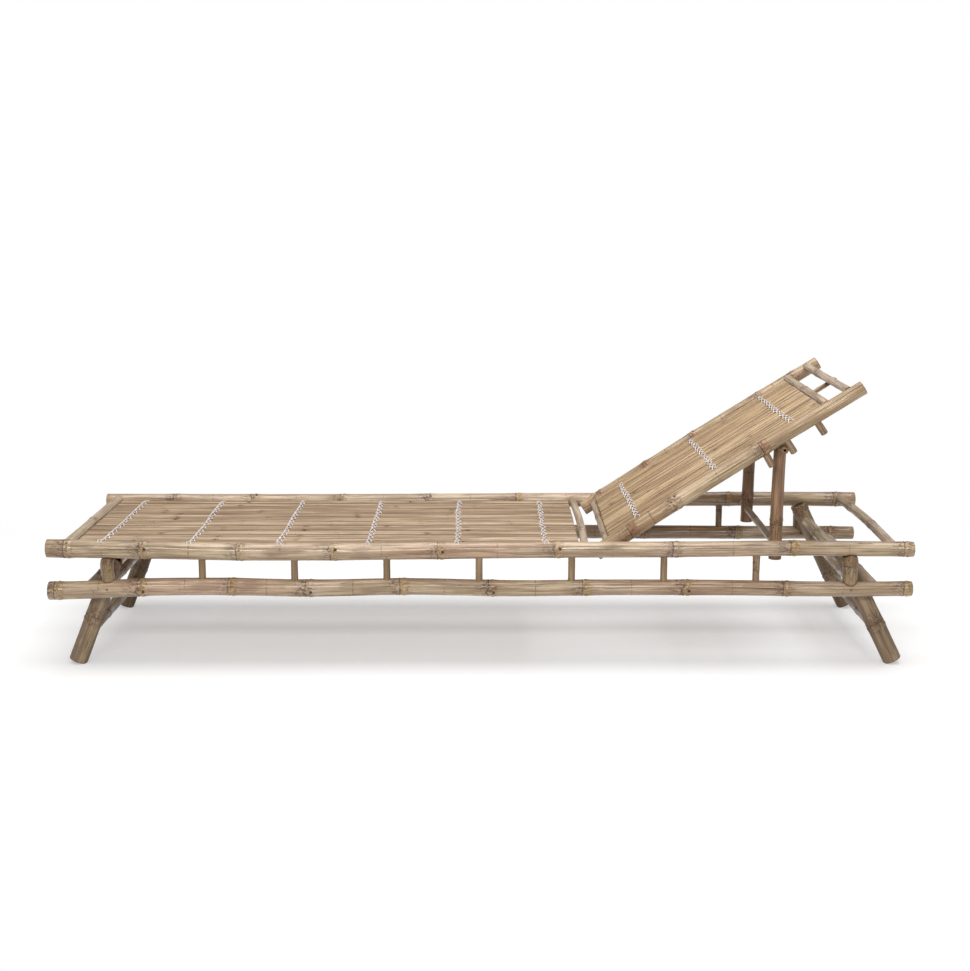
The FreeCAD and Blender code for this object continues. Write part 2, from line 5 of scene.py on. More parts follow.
import bpy
import numpy as np
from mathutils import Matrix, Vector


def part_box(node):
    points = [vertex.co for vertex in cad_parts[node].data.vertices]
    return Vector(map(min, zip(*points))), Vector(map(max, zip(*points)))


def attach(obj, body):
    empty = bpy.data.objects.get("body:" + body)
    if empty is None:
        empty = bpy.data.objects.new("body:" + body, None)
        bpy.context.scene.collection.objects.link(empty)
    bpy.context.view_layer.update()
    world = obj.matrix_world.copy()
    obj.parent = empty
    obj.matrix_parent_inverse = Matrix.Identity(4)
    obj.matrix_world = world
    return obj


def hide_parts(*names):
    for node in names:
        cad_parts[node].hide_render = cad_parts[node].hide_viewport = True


# The looks of the bamboo folding recliner. Every pole, bar, board, peg and lashing is a
# worked-out surface that lies where the frame holds its plain solid. Sizes are in metres.
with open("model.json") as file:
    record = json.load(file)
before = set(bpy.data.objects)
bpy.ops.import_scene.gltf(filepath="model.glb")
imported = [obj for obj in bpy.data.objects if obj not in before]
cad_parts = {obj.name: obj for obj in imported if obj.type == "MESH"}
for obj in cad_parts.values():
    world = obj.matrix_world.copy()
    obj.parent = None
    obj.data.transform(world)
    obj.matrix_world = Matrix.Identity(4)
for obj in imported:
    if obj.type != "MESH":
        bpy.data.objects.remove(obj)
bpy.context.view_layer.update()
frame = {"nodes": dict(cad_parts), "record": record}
record = frame["record"]
body_of = {node: body for body, nodes in record["behaviour"]["bodies"].items() for node in nodes}
pivot = {joint["name"]: np.array(joint["pos_m"]) for joint in record["behaviour"]["joints"]}

SIDES = {"front": -1, "back": 1}

# Side frames. A pole's bores are the depths of the open bore at its two ends.
rail_foot_radius = 0.021
rail_head_radius = 0.017
rail_wall = 0.006
rail_bores = (0.034, 0.026)
rail_length = 2.0
end_round = 0.0014
foot_post_radius = 0.015
head_post_radius = 0.0175
spindle_radius = 0.00825
spindle_node_drop = 0.022
stop_bar_radius = 0.0125
post_pin_radius = 0.0034
post_pin_length = 0.040

# Backrest, in its own axes: x up the slope from the hinge, z square to it
backrest_slope = math.radians(32.6)
back_tail = 0.033
back_length = 0.689
back_foot_radius = 0.0185
back_top_radius = 0.0165
back_wall = 0.005
back_bores = (0.012, 0.020)
back_bow = 0.004
back_bar_radius = 0.0095
back_bar_rise = 0.009
second_bar_place = 0.600
top_bar_place = 0.658
back_board_top = 0.013
back_batten_places = (0.090, 0.303, 0.511)
peg_places = (0.421, 0.477, 0.558)
peg_radius = 0.0086
peg_length = 0.028
spine_thickness = 0.008
spine_pin_radius = 0.0016
spine_pin_sink = 0.0005

# Prop stand and leg frames
prop_radius = 0.01525
prop_wall = 0.005
prop_bores = (0.02, 0.006)
prop_tail = 0.035
prop_head = 0.018
prop_axle_radius = 0.0085
prop_axle_cover = 0.012
rod_radius = 0.008
rod_bore_radius = 0.0032
rod_bores = (0.03, 0.03)
leg_top_radius = 0.0205
leg_foot_radius = 0.022
leg_wall = 0.007
leg_bores = (0.003, 0.02)
leg_wear = 0.0022
leg_bar_radius = 0.014
leg_bar_inset = 0.008
leg_bar_places = {"axle": 0.0, "middle": 0.057, "lower": 0.174}
foot_leg_lean = math.radians(21.5)
head_leg_lean = math.radians(26.4)
head_leg_top = 0.048

# Thin ends of poles and bars as shares of their thick ends
bar_taper = 0.97
thin_taper = 0.98
prop_taper = 0.96

# Thin ends of the axle bars: radius, start past the middle of their pole and end short of
# the middle of the rail
back_journal = (0.007, 0.010, 0.012)
leg_journal = (0.0065, 0.012, 0.004)

# Radius of the pole that the relief of nodes and buds is given for, distance of a bud's pit
# past its node's scar, and how deep a crack of a pole goes
relief_radius = 0.020
bud_pit = 0.0115
split_depth = 0.0020

# How far from a pole's end its cut shifts the surface
cut_ease = 0.030

# Boards and lashings
board_thickness = 0.007
board_crown = 0.0012
board_round = 0.0024
batten_radius = 0.008
deck_batten_count = 6
deck_batten_gap = 0.0225
back_batten_gap = 0.020
cord_radius = 0.00125
cord_step = 0.0022
cord_sides = 9
cord_lay = 0.011
cord_inset = 0.00125
stitch_pitch = 0.037
stitch_half_width = 0.0062
lashing_drift = 0.0028
tie_place = -0.318
tie_lean = 0.014

# Points of a lashing's route in one loop, and the first of them that lies on the boards
loop_points = 180
first_risen = 18


def span(node):
    """Lowest and highest corners of a solid of the frame."""
    low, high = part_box(node)
    return np.array(low), np.array(high)


def middle(node):
    """Middle of the box of a solid of the frame."""
    low, high = span(node)
    return (low + high) / 2


def seeded(name):
    """Random numbers that belong to one piece's name, the same in each run."""
    return np.random.default_rng(zlib.crc32(name.encode()))


def bell(distance, width):
    """A smooth hump of height 1: e to the minus square of distance over width."""
    return np.exp(-(distance / width) ** 2)


def ramp(value, low, high):
    """Smooth step from 0 at low to 1 at high: 3t squared minus 2t cubed."""
    t = np.clip((value - low) / (high - low), 0, 1)
    return t * t * (3 - 2 * t)


def through(places, values, at):
    """Smooth curve through given values: Hermite spans with the mean slope at each value."""
    places = np.asarray(places, float)
    values = np.asarray(values, float)
    slopes = np.gradient(values, places)
    index = np.clip(np.searchsorted(places, at) - 1, 0, len(places) - 2)
    width = places[index + 1] - places[index]
    t = np.clip((at - places[index]) / width, 0, 1)
    from_start = (1 + 2 * t) * (1 - t) ** 2 * values[index]
    from_end = t * t * (3 - 2 * t) * values[index + 1]
    tangents = t * (1 - t) ** 2 * slopes[index] - t * t * (1 - t) * slopes[index + 1]
    return from_start + from_end + width * tangents


def wander(random, at, length, waves=4):
    """Sum of a few sine waves of random phase over a length, between about -1 and 1."""
    total = np.zeros_like(at)
    for wave in range(1, waves + 1):
        phase = random.uniform(0, 2 * math.pi)
        total = total + np.sin(at / length * wave * 2 * math.pi + phase) / wave
    return total / 1.6


def spaced(values, least):
    """Sorted places without those nearer than the least distance to the one before."""
    values = np.unique(np.round(values, 6))
    kept = [values[0]]
    for value in values[1:-1]:
        if value - kept[-1] > least and values[-1] - value > least:
            kept.append(value)
    return np.array(kept + [values[-1]])


class Surface:
    """Points and faces with the three vectors that the finishes read at each point.

    grain is the point in the piece's own axes, its first number along the fibres.
    mark is the distance past the nearest node, then two numbers: on a pole how far along
    and across the nearest bud lies, and on a board how deep in a crack the point is and
    how close to a crack or an edge.
    tone is how light the internode or strip is, then 1 on a cut end, then the depth in the
    wall, 1 at the skin and 0 at the bore or at the bottom of a crack.
    """

    def __init__(self, points, quads, triangles, grain, mark, tone):
        self.points = points
        self.quads = quads
        self.triangles = triangles
        self.grain = grain
        self.mark = mark
        self.tone = tone

    def placed(self, angle, origin):
        """Turned about the Y axis, so that its X axis rises by an angle, and moved."""
        x, y, z = self.points.T
        turned = np.column_stack([x * math.cos(angle) - z * math.sin(angle), y,
                                  x * math.sin(angle) + z * math.cos(angle)])
        self.points = turned + origin
        return self


def ring_faces(rows, columns):
    """Faces of rings joined one to the next, closed round and closed by a point at each end.

    The first point and the last are the two poles, and the rings lie between them.
    """
    row = np.arange(rows - 1)[:, None] * columns + 1
    column = np.arange(columns)[None, :]
    after = (column + 1) % columns
    quads = np.stack([row + column, row + after, row + columns + after, row + columns + column], -1)
    first = np.arange(columns)
    following = (first + 1) % columns
    last = (rows - 1) * columns + 1
    top = rows * columns + 1
    start = np.column_stack([np.zeros(columns, int), following + 1, first + 1])
    end = np.column_stack([np.full(columns, top), last + first, last + following])
    return quads.reshape(-1, 4), np.concatenate([start, end])


def with_poles(array, first, last):
    """Rings' values as one list, with the first pole's value before and the last one's after."""
    width = array.shape[-1]
    return np.concatenate([np.reshape(first, (1, width)), array.reshape(-1, width),
                           np.reshape(last, (1, width))])


def closed(points, grain, mark, tone, ends=None, hub=None):
    """The surface of joined rings, which a point in the middle of each end's ring closes."""
    if ends is None:
        ends = [np.mean(points[index], axis=0) for index in (0, -1)]
    if hub is None:
        hub = grain[[0, -1], 0]
    quads, triangles = ring_faces(*points.shape[:2])
    mark = with_poles(mark, *mark[[0, -1], 0])
    tone = with_poles(tone, *tone[[0, -1], 0])
    return Surface(with_poles(points, *ends), quads, triangles, with_poles(grain, *hub), mark, tone)


def ridge(distance, size):
    """Swelling of a bamboo node: a thin scar ring, a dip after it and a soft ridge above.

    The sum of four bells, for a pole of 20 mm radius and in proportion for others.
    """
    scale = size / relief_radius
    scar = 0.00055 * bell(distance, 0.0011)
    dip = -0.0003 * bell(distance - 0.0045, 0.0022)
    shoulder = 0.0011 * bell(distance - 0.0100, 0.0042)
    swelling = 0.0006 * bell(distance - 0.004, 0.022)
    return scale * (scar + dip + shoulder + swelling)


def bud(along, across, size):
    """Bump of a branch bud just above a node: a long low hump with a small pit at its end."""
    scale = size / relief_radius
    hump = 0.0018 * bell(along - 0.006, 0.0085) * bell(across, 0.0044)
    pit = -0.0018 * bell(along - bud_pit, 0.0026) * bell(across, 0.0022)
    return scale * (hump + pit)


def cope(mate_radius, offset=0.0):
    """Cut of a pole's end that fits it round another pole which runs square to it.

    At a distance v across the mate the end reaches further by R - sqrt(R^2 - v^2), eased
    off where that is deep, so that the lip stays rounded.
    """
    def reach(across, _along):
        v = across + offset
        deep = mate_radius - np.sqrt(np.maximum(mate_radius ** 2 - v ** 2, 0.0))
        most = 0.55 * mate_radius
        return most * (1 - np.exp(-deep / most)) + 0.0006
    return reach


def culm(name, start, end, radii, nodes=(), buds=(), cracks=(), bow=0.0012, bends=None, wall=0.0,
         bores=(0.07, 0.07), cuts=(None, None), around=64, shade=0.0, kink=0.0004):
    """A bamboo pole or a bar: a ring of radius r(s, a) carried along a slightly bent axis.

    r is the straight taper plus the ridge of each node, the bumps of the buds and a trace
    of ovality. buds are pairs of a node's number and the angle that the bud faces. cracks
    are rows of two places along the pole and the angle at which a groove joins them. bends
    are rows of a share of the length and two offsets of the axis. An open end goes round
    the rim and down the bore to a closed diaphragm, at the depth that bores gives.
    """
    random = seeded(name)
    start = np.asarray(start, float)
    end = np.asarray(end, float)
    length = np.linalg.norm(end - start)
    ahead = (end - start) / length
    side = np.array([0.0, 0.0, 1.0]) if abs(ahead[1]) > 0.9 else np.array([0.0, 1.0, 0.0])
    up = np.cross(ahead, side)
    size = (radii[0] + radii[1]) / 2
    nodes = np.array(sorted(nodes))

    fine = np.concatenate([np.arange(-0.010, 0.004, 0.0011), np.arange(0.004, 0.024, 0.002)])
    near = [fine * size / relief_radius + node for node in nodes]
    base = np.linspace(end_round, length - end_round, max(int(length / 0.011), 6))
    rows = spaced(np.clip(np.concatenate([base, *near]), end_round, length - end_round), 0.0005)

    hollow = wall > 0
    inset = [end_round, end_round * 0.3]
    rim = [0.0, end_round * 0.3]
    if hollow:
        inset = [wall, wall, wall - 0.0006] + inset
        rim = [None, 0.0010, 0.0] + rim
    first = [bores[0] if place is None else place for place in rim]
    last = [length - (bores[1] if place is None else place) for place in rim]
    s = np.concatenate([first, rows, last[::-1]])[:, None]
    inward = np.concatenate([inset, np.zeros(len(rows)), inset[::-1]])[:, None]
    cut = np.concatenate([np.ones(len(inset)), np.zeros(len(rows)), np.ones(len(inset))])[:, None]

    a = np.linspace(0, 2 * math.pi, around, endpoint=False)[None, :]
    taper = radii[0] + (radii[1] - radii[0]) * s / length
    past, bud_along, bud_across = np.ones((3, len(s), around))
    bumps, split = np.zeros((2, len(s), around))
    for number, node in enumerate(nodes):
        distance = np.repeat(s - node, around, axis=1)
        for at, facing in buds:
            if at == number:
                across = (np.mod(a - facing + math.pi, 2 * math.pi) - math.pi) * size
                across = np.repeat(across, len(s), axis=0)
                along = distance
                bumps += bud(along, across, size)
                trough = ramp(along, 0.012, 0.03) * ramp(-along, -0.14, -0.05)
                bumps -= 0.0007 * bell(across, 0.006) * trough
                close = np.abs(along) < 0.12
                bud_along = np.where(close, along, bud_along)
                bud_across = np.where(close, across, bud_across)
                distance = distance + 0.006 * bell(across, 0.0062)
        distance = distance + 0.0006 * np.sin(2 * a + number)
        bumps += ridge(distance, size)
        past = np.where(np.abs(distance) < np.abs(past), distance, past)
    for begin, stop, facing in cracks:
        column = int(round(facing / (2 * math.pi) * around)) % around
        share = np.clip((s[:, 0] - begin) / (stop - begin), 0, 1)
        open_here = np.sqrt(np.sin(math.pi * share)) * (0.7 + 0.3 * np.sin(9 * share))
        split[:, column] = np.maximum(split[:, column], open_here)
    bumps -= split_depth * split
    oval = 1 + random.uniform(0.004, 0.014) * np.cos(2 * a + random.uniform(0, math.pi))
    lumpy = 1 + 0.006 * wander(random, s, max(length, 0.2) / 2)
    radius = taper * oval * lumpy + bumps - inward

    between = nodes if len(nodes) else [length / 2]
    places = np.concatenate([[0.0], between, [length]])
    if places[1] - places[0] < 0.01:
        places = np.delete(places, 1)
    shares = np.clip(s[:, 0], 0, length)
    if bends is None:
        arc = np.sin(math.pi * shares / length)
        offsets = [bow * random.uniform(-1, 1) * arc for _ in range(2)]
    else:
        table = np.array(bends)
        offsets = [through(table[:, 0] * length, table[:, column], shares) for column in (1, 2)]
    for offset in offsets:
        offset += through(places, kink * random.uniform(-1, 1, len(places)), shares)

    across, along = radius * np.cos(a), radius * np.sin(a)
    lengthen = np.zeros_like(radius)
    if cuts[0] is not None:
        lengthen -= cuts[0](across, along) * ramp(-s, -cut_ease, 0.0)
    if cuts[1] is not None:
        lengthen += cuts[1](across, along) * ramp(s, length - cut_ease, length)
    axis = start + ahead * s + side * offsets[0][:, None] + up * offsets[1][:, None]
    points = (axis[:, None, :] + ahead * lengthen[..., None]
              + side * across[..., None] + up * along[..., None])

    shift = random.uniform(0, 40)
    grain = np.stack([s + lengthen + shift, across, along], -1)
    mark = np.stack([past, bud_along, bud_across], -1)
    internode = np.searchsorted(nodes, s[:, 0]) if len(nodes) else np.zeros(len(s), int)
    light = shade + random.uniform(-1, 1, len(nodes) + 1)[internode]
    depth = 1 - inward / (wall if hollow else size)
    depth = np.where((s > 0.002) & (s < length - 0.002) & (inward > wall / 2), -1.0, depth)
    tone = np.stack(np.broadcast_arrays(light[:, None], cut, depth - split), -1)

    hub = [np.array([grain[index, 0, 0], 0.0, 0.0]) for index in (0, -1)]
    return closed(points, grain, mark, tone, hub=hub)


def dowel(name, start, end, radius, round_over=0.0012, around=28):
    """A plain wooden peg or pin: a rod whose ends are rounded over, with cut grain on them."""
    start = np.asarray(start, float)
    end = np.asarray(end, float)
    made = culm(name, start, end, (radius, radius * 0.97), bow=0.0, around=around, kink=0.0)
    reach = np.linalg.norm(end - start)
    at = made.grain[:, 0]
    from_end = np.minimum(at - at.min(), at.max() - at)
    ahead = (end - start) / reach
    axis = start + np.outer((made.points - start) @ ahead, ahead)
    shrink = 1 - round_over / radius * (1 - ramp(from_end, 0.0, 2.2 * round_over)) * 0.8
    made.points = axis + (made.points - axis) * shrink[:, None]
    return made


def crossbar(name, x, z, reach, radius, nodes=(), taper=1.0, **shape):
    """A bar square across the recliner, with its middle on the middle plane."""
    return culm(name, (x, -reach, z), (x, reach, z), (radius, radius * taper), nodes, **shape)


def journals(label, pole_y, rail_ys, sizes):
    """The thin ends of an axle bar, on its own axis from its poles into the side rails."""
    radius, past_pole, short_of_rail = sizes
    made = []
    for (side, sign), rail_y in zip(SIDES.items(), rail_ys):
        ends = sorted((sign * (pole_y + past_pole), rail_y - sign * short_of_rail))
        made.append(culm(label + side, *((0, y, 0) for y in ends), (radius, radius), around=28))
    return made


def board(name, low, high, thickness=board_thickness, strip=0.015, groove=0.0016, seam=0.0040,
          node_places=None, shade=0.0):
    """A board of flattened bamboo between two corners, as a closed section carried along X.

    The top is the crown 1 - (2v/w)^2 minus a groove along each crack, whose depth comes and
    goes along the board, with each strip between cracks a little higher or lower and a low
    ridge where each node was. Columns of points follow the cracks as these wander.
    """
    random = seeded(name)
    start, near = low[:2]
    end, far, top = high
    length = end - start
    width = far - near
    count = max(int(width / strip + 0.5), 1)
    edges = np.linspace(0, 1, count + 1)
    edges[1:-1] += random.uniform(-0.28, 0.28, count - 1) / count
    cracks = near + edges[1:-1] * width
    if node_places is None:
        first = random.uniform(0.03, 0.20)
        node_places = np.arange(first, length, random.uniform(0.19, 0.26))
    node_places = np.asarray(node_places)

    lip = board_round * np.array([0.0, 0.12, 0.45, 1.0])
    close = np.array([-0.0028, -0.0016, -0.0009, -0.0004, 0.0, 0.0004, 0.0009, 0.0016, 0.0028])
    even = np.arange(near + 0.003, far - 0.002, 0.003)
    inner = np.concatenate([even, *(crack + close for crack in cracks)])
    inner = inner[(inner > near + board_round * 1.2) & (inner < far - board_round * 1.2)]
    upper = spaced(np.concatenate([near + lip, inner, far - lip]), 0.00012)
    lower = np.concatenate([far - lip, near + lip[::-1]])
    y = np.concatenate([upper, lower])[None, :]
    on_top = np.concatenate([np.ones(len(upper)), np.zeros(len(lower))])[None, :]

    tail = np.array([0.0, 0.0003, 0.0010, 0.0024])
    fine = np.arange(-0.006, 0.0065, 0.0015)
    base = np.linspace(0.004, length - 0.004, int(length / 0.012))
    near_nodes = [node + fine for node in node_places if 0.012 < node < length - 0.012]
    s = spaced(np.concatenate([tail, base, *near_nodes, length - tail]), 0.00025)[:, None]

    v = (y - (near + far) / 2) / (width / 2)
    edge_drop = np.minimum(y - near, far - y)
    short = board_round - np.minimum(edge_drop, board_round)
    rounding = board_round - np.sqrt(np.maximum(board_round ** 2 - short ** 2, 0))
    strip_of = np.searchsorted(cracks, y[0])
    level = random.uniform(-1, 1, count)[strip_of][None, :]
    lightness = random.uniform(-1, 1, count)[strip_of][None, :]
    slip = random.uniform(-0.004, 0.004, count)[strip_of][None, :]
    strip_low = np.concatenate([[near], cracks])[strip_of]
    strip_high = np.concatenate([cracks, [far]])[strip_of]
    within = (y - (strip_low + strip_high) / 2) / ((strip_high - strip_low) / 2)

    height = -board_crown * v ** 2 + 0.00035 * level - 0.0009 * within ** 2
    height = np.repeat(height, len(s), axis=0)
    crack_depth = np.zeros_like(height)
    # Mask of painted shade along each crack and along the board's edges, kept in the mark
    painted_seam_shade = np.zeros_like(height)
    sideways = np.zeros_like(height)
    for crack in cracks:
        strength = 0.35 + 0.65 * ramp(wander(random, s, length / 1.7, 5), -0.6, 0.4)
        strength = strength * ramp(random.uniform(), -0.4, 0.35)
        crack_depth = np.maximum(crack_depth, bell(y - crack, 0.0012) * strength)
        painted_seam_shade = np.maximum(painted_seam_shade, bell(y - crack, seam * 0.85) * strength)
        sideways = sideways + 0.0011 * wander(random, s, length) * bell(y - crack, 0.006)
    past = np.full(height.shape, 1.0)
    for node in node_places:
        distance = s - node + slip
        height += 0.0005 * bell(distance, 0.0022)
        past = np.where(np.abs(distance) < np.abs(past), distance, past)
    height = height - groove * crack_depth + 0.0003 * wander(random, s, length / 2)
    edge_wave = 0.0005 * wander(random, s, length / 2, 5) * np.sign(v) * ramp(np.abs(v), 0.7, 1.0)

    flat_end = np.minimum(s, length - s)
    end_drop = 0.0009 * (1 - ramp(flat_end, 0.0, 0.0022))
    z_top = top + height - rounding - end_drop
    z_low = top - thickness + rounding + end_drop
    z = np.where(on_top > 0, z_top, z_low)
    x = start + s + 0.0008 * random.uniform(-1, 1)
    y_at = y + (sideways + edge_wave) * on_top + edge_wave * (1 - on_top)
    y_at = y_at - np.sign(v) * end_drop * ramp(np.abs(v), 0.8, 1.0)
    points = np.stack(np.broadcast_arrays(x, y_at, z), -1)
    points = points[:, ::-1]

    shift = random.uniform(0, 40)
    grain = np.stack(np.broadcast_arrays(s + shift + 0.31 * strip_of[None, :], y, z), -1)[:, ::-1]
    painted_seam_shade = np.maximum(painted_seam_shade, bell(edge_drop, seam))
    mark = np.stack(np.broadcast_arrays(past, crack_depth * on_top, painted_seam_shade * on_top), -1)[:, ::-1]
    cut = 1 - ramp(flat_end, 0.0, 0.0008)
    underneath = 1 - on_top + 0.0 * s
    tone = np.stack(np.broadcast_arrays(shade + lightness + 0.0 * s, cut, underneath), -1)[:, ::-1]
    return closed(points, grain, mark, tone)


def rope(name, route):
    """A twisted cord along a route: a three-lobed ring r(1 + 0.1 cos 3(a - turn)) carried
    along it, which turns once in each lay."""
    random = seeded(name)
    steps = np.linalg.norm(np.diff(route, axis=0), axis=1)
    run = np.concatenate([[0.0], np.cumsum(steps)])
    count = int(run[-1] / cord_step)
    at = np.linspace(0, run[-1], count)
    centre = np.column_stack([np.interp(at, run, route[:, axis]) for axis in range(3)])
    ahead = np.gradient(centre, axis=0)
    ahead /= np.linalg.norm(ahead, axis=1)[:, None]
    side = np.cross(ahead, np.array([0.0, 1.0, 0.0]))
    side /= np.linalg.norm(side, axis=1)[:, None]
    up = np.cross(ahead, side)
    a = np.linspace(0, 2 * math.pi, cord_sides, endpoint=False)[None, :]
    turn = 2 * math.pi * at[:, None] / cord_lay
    size = cord_radius * (1 + 0.10 * np.cos(3 * (a - turn)) + 0.05 * wander(random, at[:, None], 0.09))
    points = (centre[:, None, :] + side[:, None, :] * (size * np.cos(a))[..., None]
              + up[:, None, :] * (size * np.sin(a))[..., None])
    grain = np.stack(np.broadcast_arrays(at[:, None], a / (2 * math.pi), random.uniform()), -1)
    none = np.zeros_like(grain)
    return closed(points, grain, none, none, ends=centre[[0, -1]])


def lashing(name, x, row, top, batten_z, tie=None):
    """Two cords that cross over each other on the boards and go round the batten below.

    Each cord is a coil about the batten on a rounded box, x = a |cos|^0.4 and
    z = b |sin|^0.4, that steps to the next hole while it is on top of the boards. The box
    is as wide as the batten below and narrower on top. A tie is the place across the rail
    where the cords go in, with the rail's middle and radius.
    """
    random = seeded(name)
    cords = []
    high = top + cord_radius + 0.0002
    low = batten_z - batten_radius - cord_radius - 0.0003
    middle_z = (high + low) / 2
    half_height = (high - low) / 2
    wide = batten_radius + cord_radius + 0.0006
    loops = len(row) - 1
    pitch = (row[-1] - row[0]) / loops
    t = np.linspace(0, loops, loops * loop_points + 1)
    loop = np.minimum(np.floor(t), loops - 1)
    part = t - loop
    angle = math.pi * (1 - 2 * part)
    squareness = 0.4
    unevenness = through(np.arange(loops + 1), random.uniform(-1, 1, loops + 1), t)
    slack = through(np.arange(loops + 1), random.uniform(-1, 1, loops + 1), t)
    drift = lashing_drift * wander(random, t, loops * 1.6, 3)
    for sign in (-1, 1):
        x_box = sign * np.sign(np.cos(angle)) * np.abs(np.cos(angle)) ** squareness
        z_box = np.sign(np.sin(angle)) * np.abs(np.sin(angle)) ** squareness
        forward = np.clip(0.5 + 0.5 * x_box * sign, 0, 1)
        on_top = np.sin(angle) > 0
        progress = np.where(on_top, loop + forward, loop + 1)
        y = row[0] + pitch * progress + sign * 0.0012
        crossing = bell(x_box, 0.35) * on_top
        z = middle_z + half_height * z_box + (0.0024 if sign > 0 else 0.0) * crossing
        below = ramp(-np.sin(angle), -0.6, 0.3)
        reach = stitch_half_width * (1 + 0.22 * unevenness) * (1 - below) + wide * below
        y = y + 0.0016 * unevenness * sign + 0.0042 * slack * (1 - below)
        route = np.column_stack([x + drift + reach * x_box, y, z])
        if tie:
            risen = route[first_risen:]
            route = np.concatenate([tie_off(risen[0], tie, x, sign, high), risen])
        cords.append(rope("%s_%d" % (name, sign), route))
    return cords


def tie_off(last, tie, x, sign, high):
    """A cord's way from where it goes into a rail to its first hole, pulled straight.

    Seen from the end it lies on the rail's circle as far as a line to the hole allows: at
    each place the greater of that line's height and the circle's. It leans a little towards
    the recliner's middle.
    """
    place, middle_y, middle_z, size = tie
    share = np.linspace(0, 1, 40)
    y = place + (last[1] - place) * share
    away = np.clip((y - middle_y) / size, -1, 1)
    on_rail = middle_z + size * np.sqrt(1 - away ** 2) + cord_radius
    crown = middle_z + size + cord_radius
    slope = np.clip((y - middle_y) / (last[1] - middle_y), 0, 1)
    straight = crown + (high - crown) * slope
    surface = np.where(y > middle_y, straight, on_rail)
    dive = 0.006 * (1 - ramp(share, 0.0, 0.12))
    arch = (0.0022 if sign > 0 else 0.0) * bell(share - 0.55, 0.25)
    sideways = (last[0] - x) * (2 * share - 1) * 0.9 - tie_lean * x * (1 - share)
    return np.column_stack([x + sideways, y, surface + arch - dive])


def make(node, surfaces, finish):
    """One finished piece in place of a solid of the frame, from one or more surfaces."""
    mesh = bpy.data.meshes.new(node + "_mesh")
    starts = np.cumsum([0] + [len(surface.points) for surface in surfaces])
    points = np.concatenate([surface.points for surface in surfaces])
    quads = np.concatenate([surface.quads + first for surface, first in zip(surfaces, starts)])
    triangles = [surface.triangles + first for surface, first in zip(surfaces, starts)]
    triangles = np.concatenate(triangles)
    mesh.vertices.add(len(points))
    mesh.vertices.foreach_set("co", points.astype(np.float32).ravel())
    mesh.loops.add(quads.size + triangles.size)
    mesh.loops.foreach_set("vertex_index", np.concatenate([quads.ravel(), triangles.ravel()]))
    corners = np.concatenate([np.full(len(quads), 4), np.full(len(triangles), 3)])
    mesh.polygons.add(len(corners))
    mesh.polygons.foreach_set("loop_start", np.concatenate([[0], np.cumsum(corners)[:-1]]))
    mesh.update(calc_edges=True)
    for key in ("grain", "mark", "tone"):
        values = np.concatenate([getattr(surface, key) for surface in surfaces])
        layer = mesh.attributes.new(key, "FLOAT_VECTOR", "POINT")
        layer.data.foreach_set("vector", values.astype(np.float32).ravel())
    mesh.shade_smooth()
    mesh.set_sharp_from_angle(angle=math.radians(48))
    mesh.materials.append(finish)
    piece = bpy.data.objects.new(node + "_made", mesh)
    bpy.context.collection.objects.link(piece)
    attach(piece, body_of[node])
    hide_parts(node)


def colour(red, green, blue):
    """A colour given as it looks on a screen, from 0 to 255, in the shader's linear light."""
    shares = np.array([red, green, blue]) / 255
    linear = np.where(shares <= 0.04045, shares / 12.92, ((shares + 0.055) / 1.055) ** 2.4)
    return (*linear.tolist(), 1.0)


class Socket:
    """A shader output that arithmetic works on: a number adds Math nodes, a vector or a
    colour adds Vector Math nodes."""

    def __init__(self, finish, output):
        self.finish = finish
        self.output = output
        self.wide = output.type in ("VECTOR", "RGBA")

    def joined(self, operation, first, second):
        wide = any(isinstance(item, tuple) or getattr(item, "wide", False)
                   for item in (first, second))
        kind = "ShaderNodeVectorMath" if wide else "ShaderNodeMath"
        return self.finish.node(kind, {"operation": operation}, {0: first, 1: second})

    def __add__(self, other):
        return self.joined("ADD", self, other)

    def __radd__(self, other):
        return self.joined("ADD", other, self)

    def __sub__(self, other):
        return self.joined("SUBTRACT", self, other)

    def __rsub__(self, other):
        return self.joined("SUBTRACT", other, self)

    def __mul__(self, other):
        if self.wide and not isinstance(other, tuple) and not getattr(other, "wide", False):
            inputs = {0: self, "Scale": other}
            return self.finish.node("ShaderNodeVectorMath", {"operation": "SCALE"}, inputs)
        return self.joined("MULTIPLY", self, other)

    def __rmul__(self, other):
        return self * other

    def parts(self):
        """The three numbers of a vector."""
        return [self.finish.node("ShaderNodeSeparateXYZ", {}, {0: self}, output) for output in range(3)]


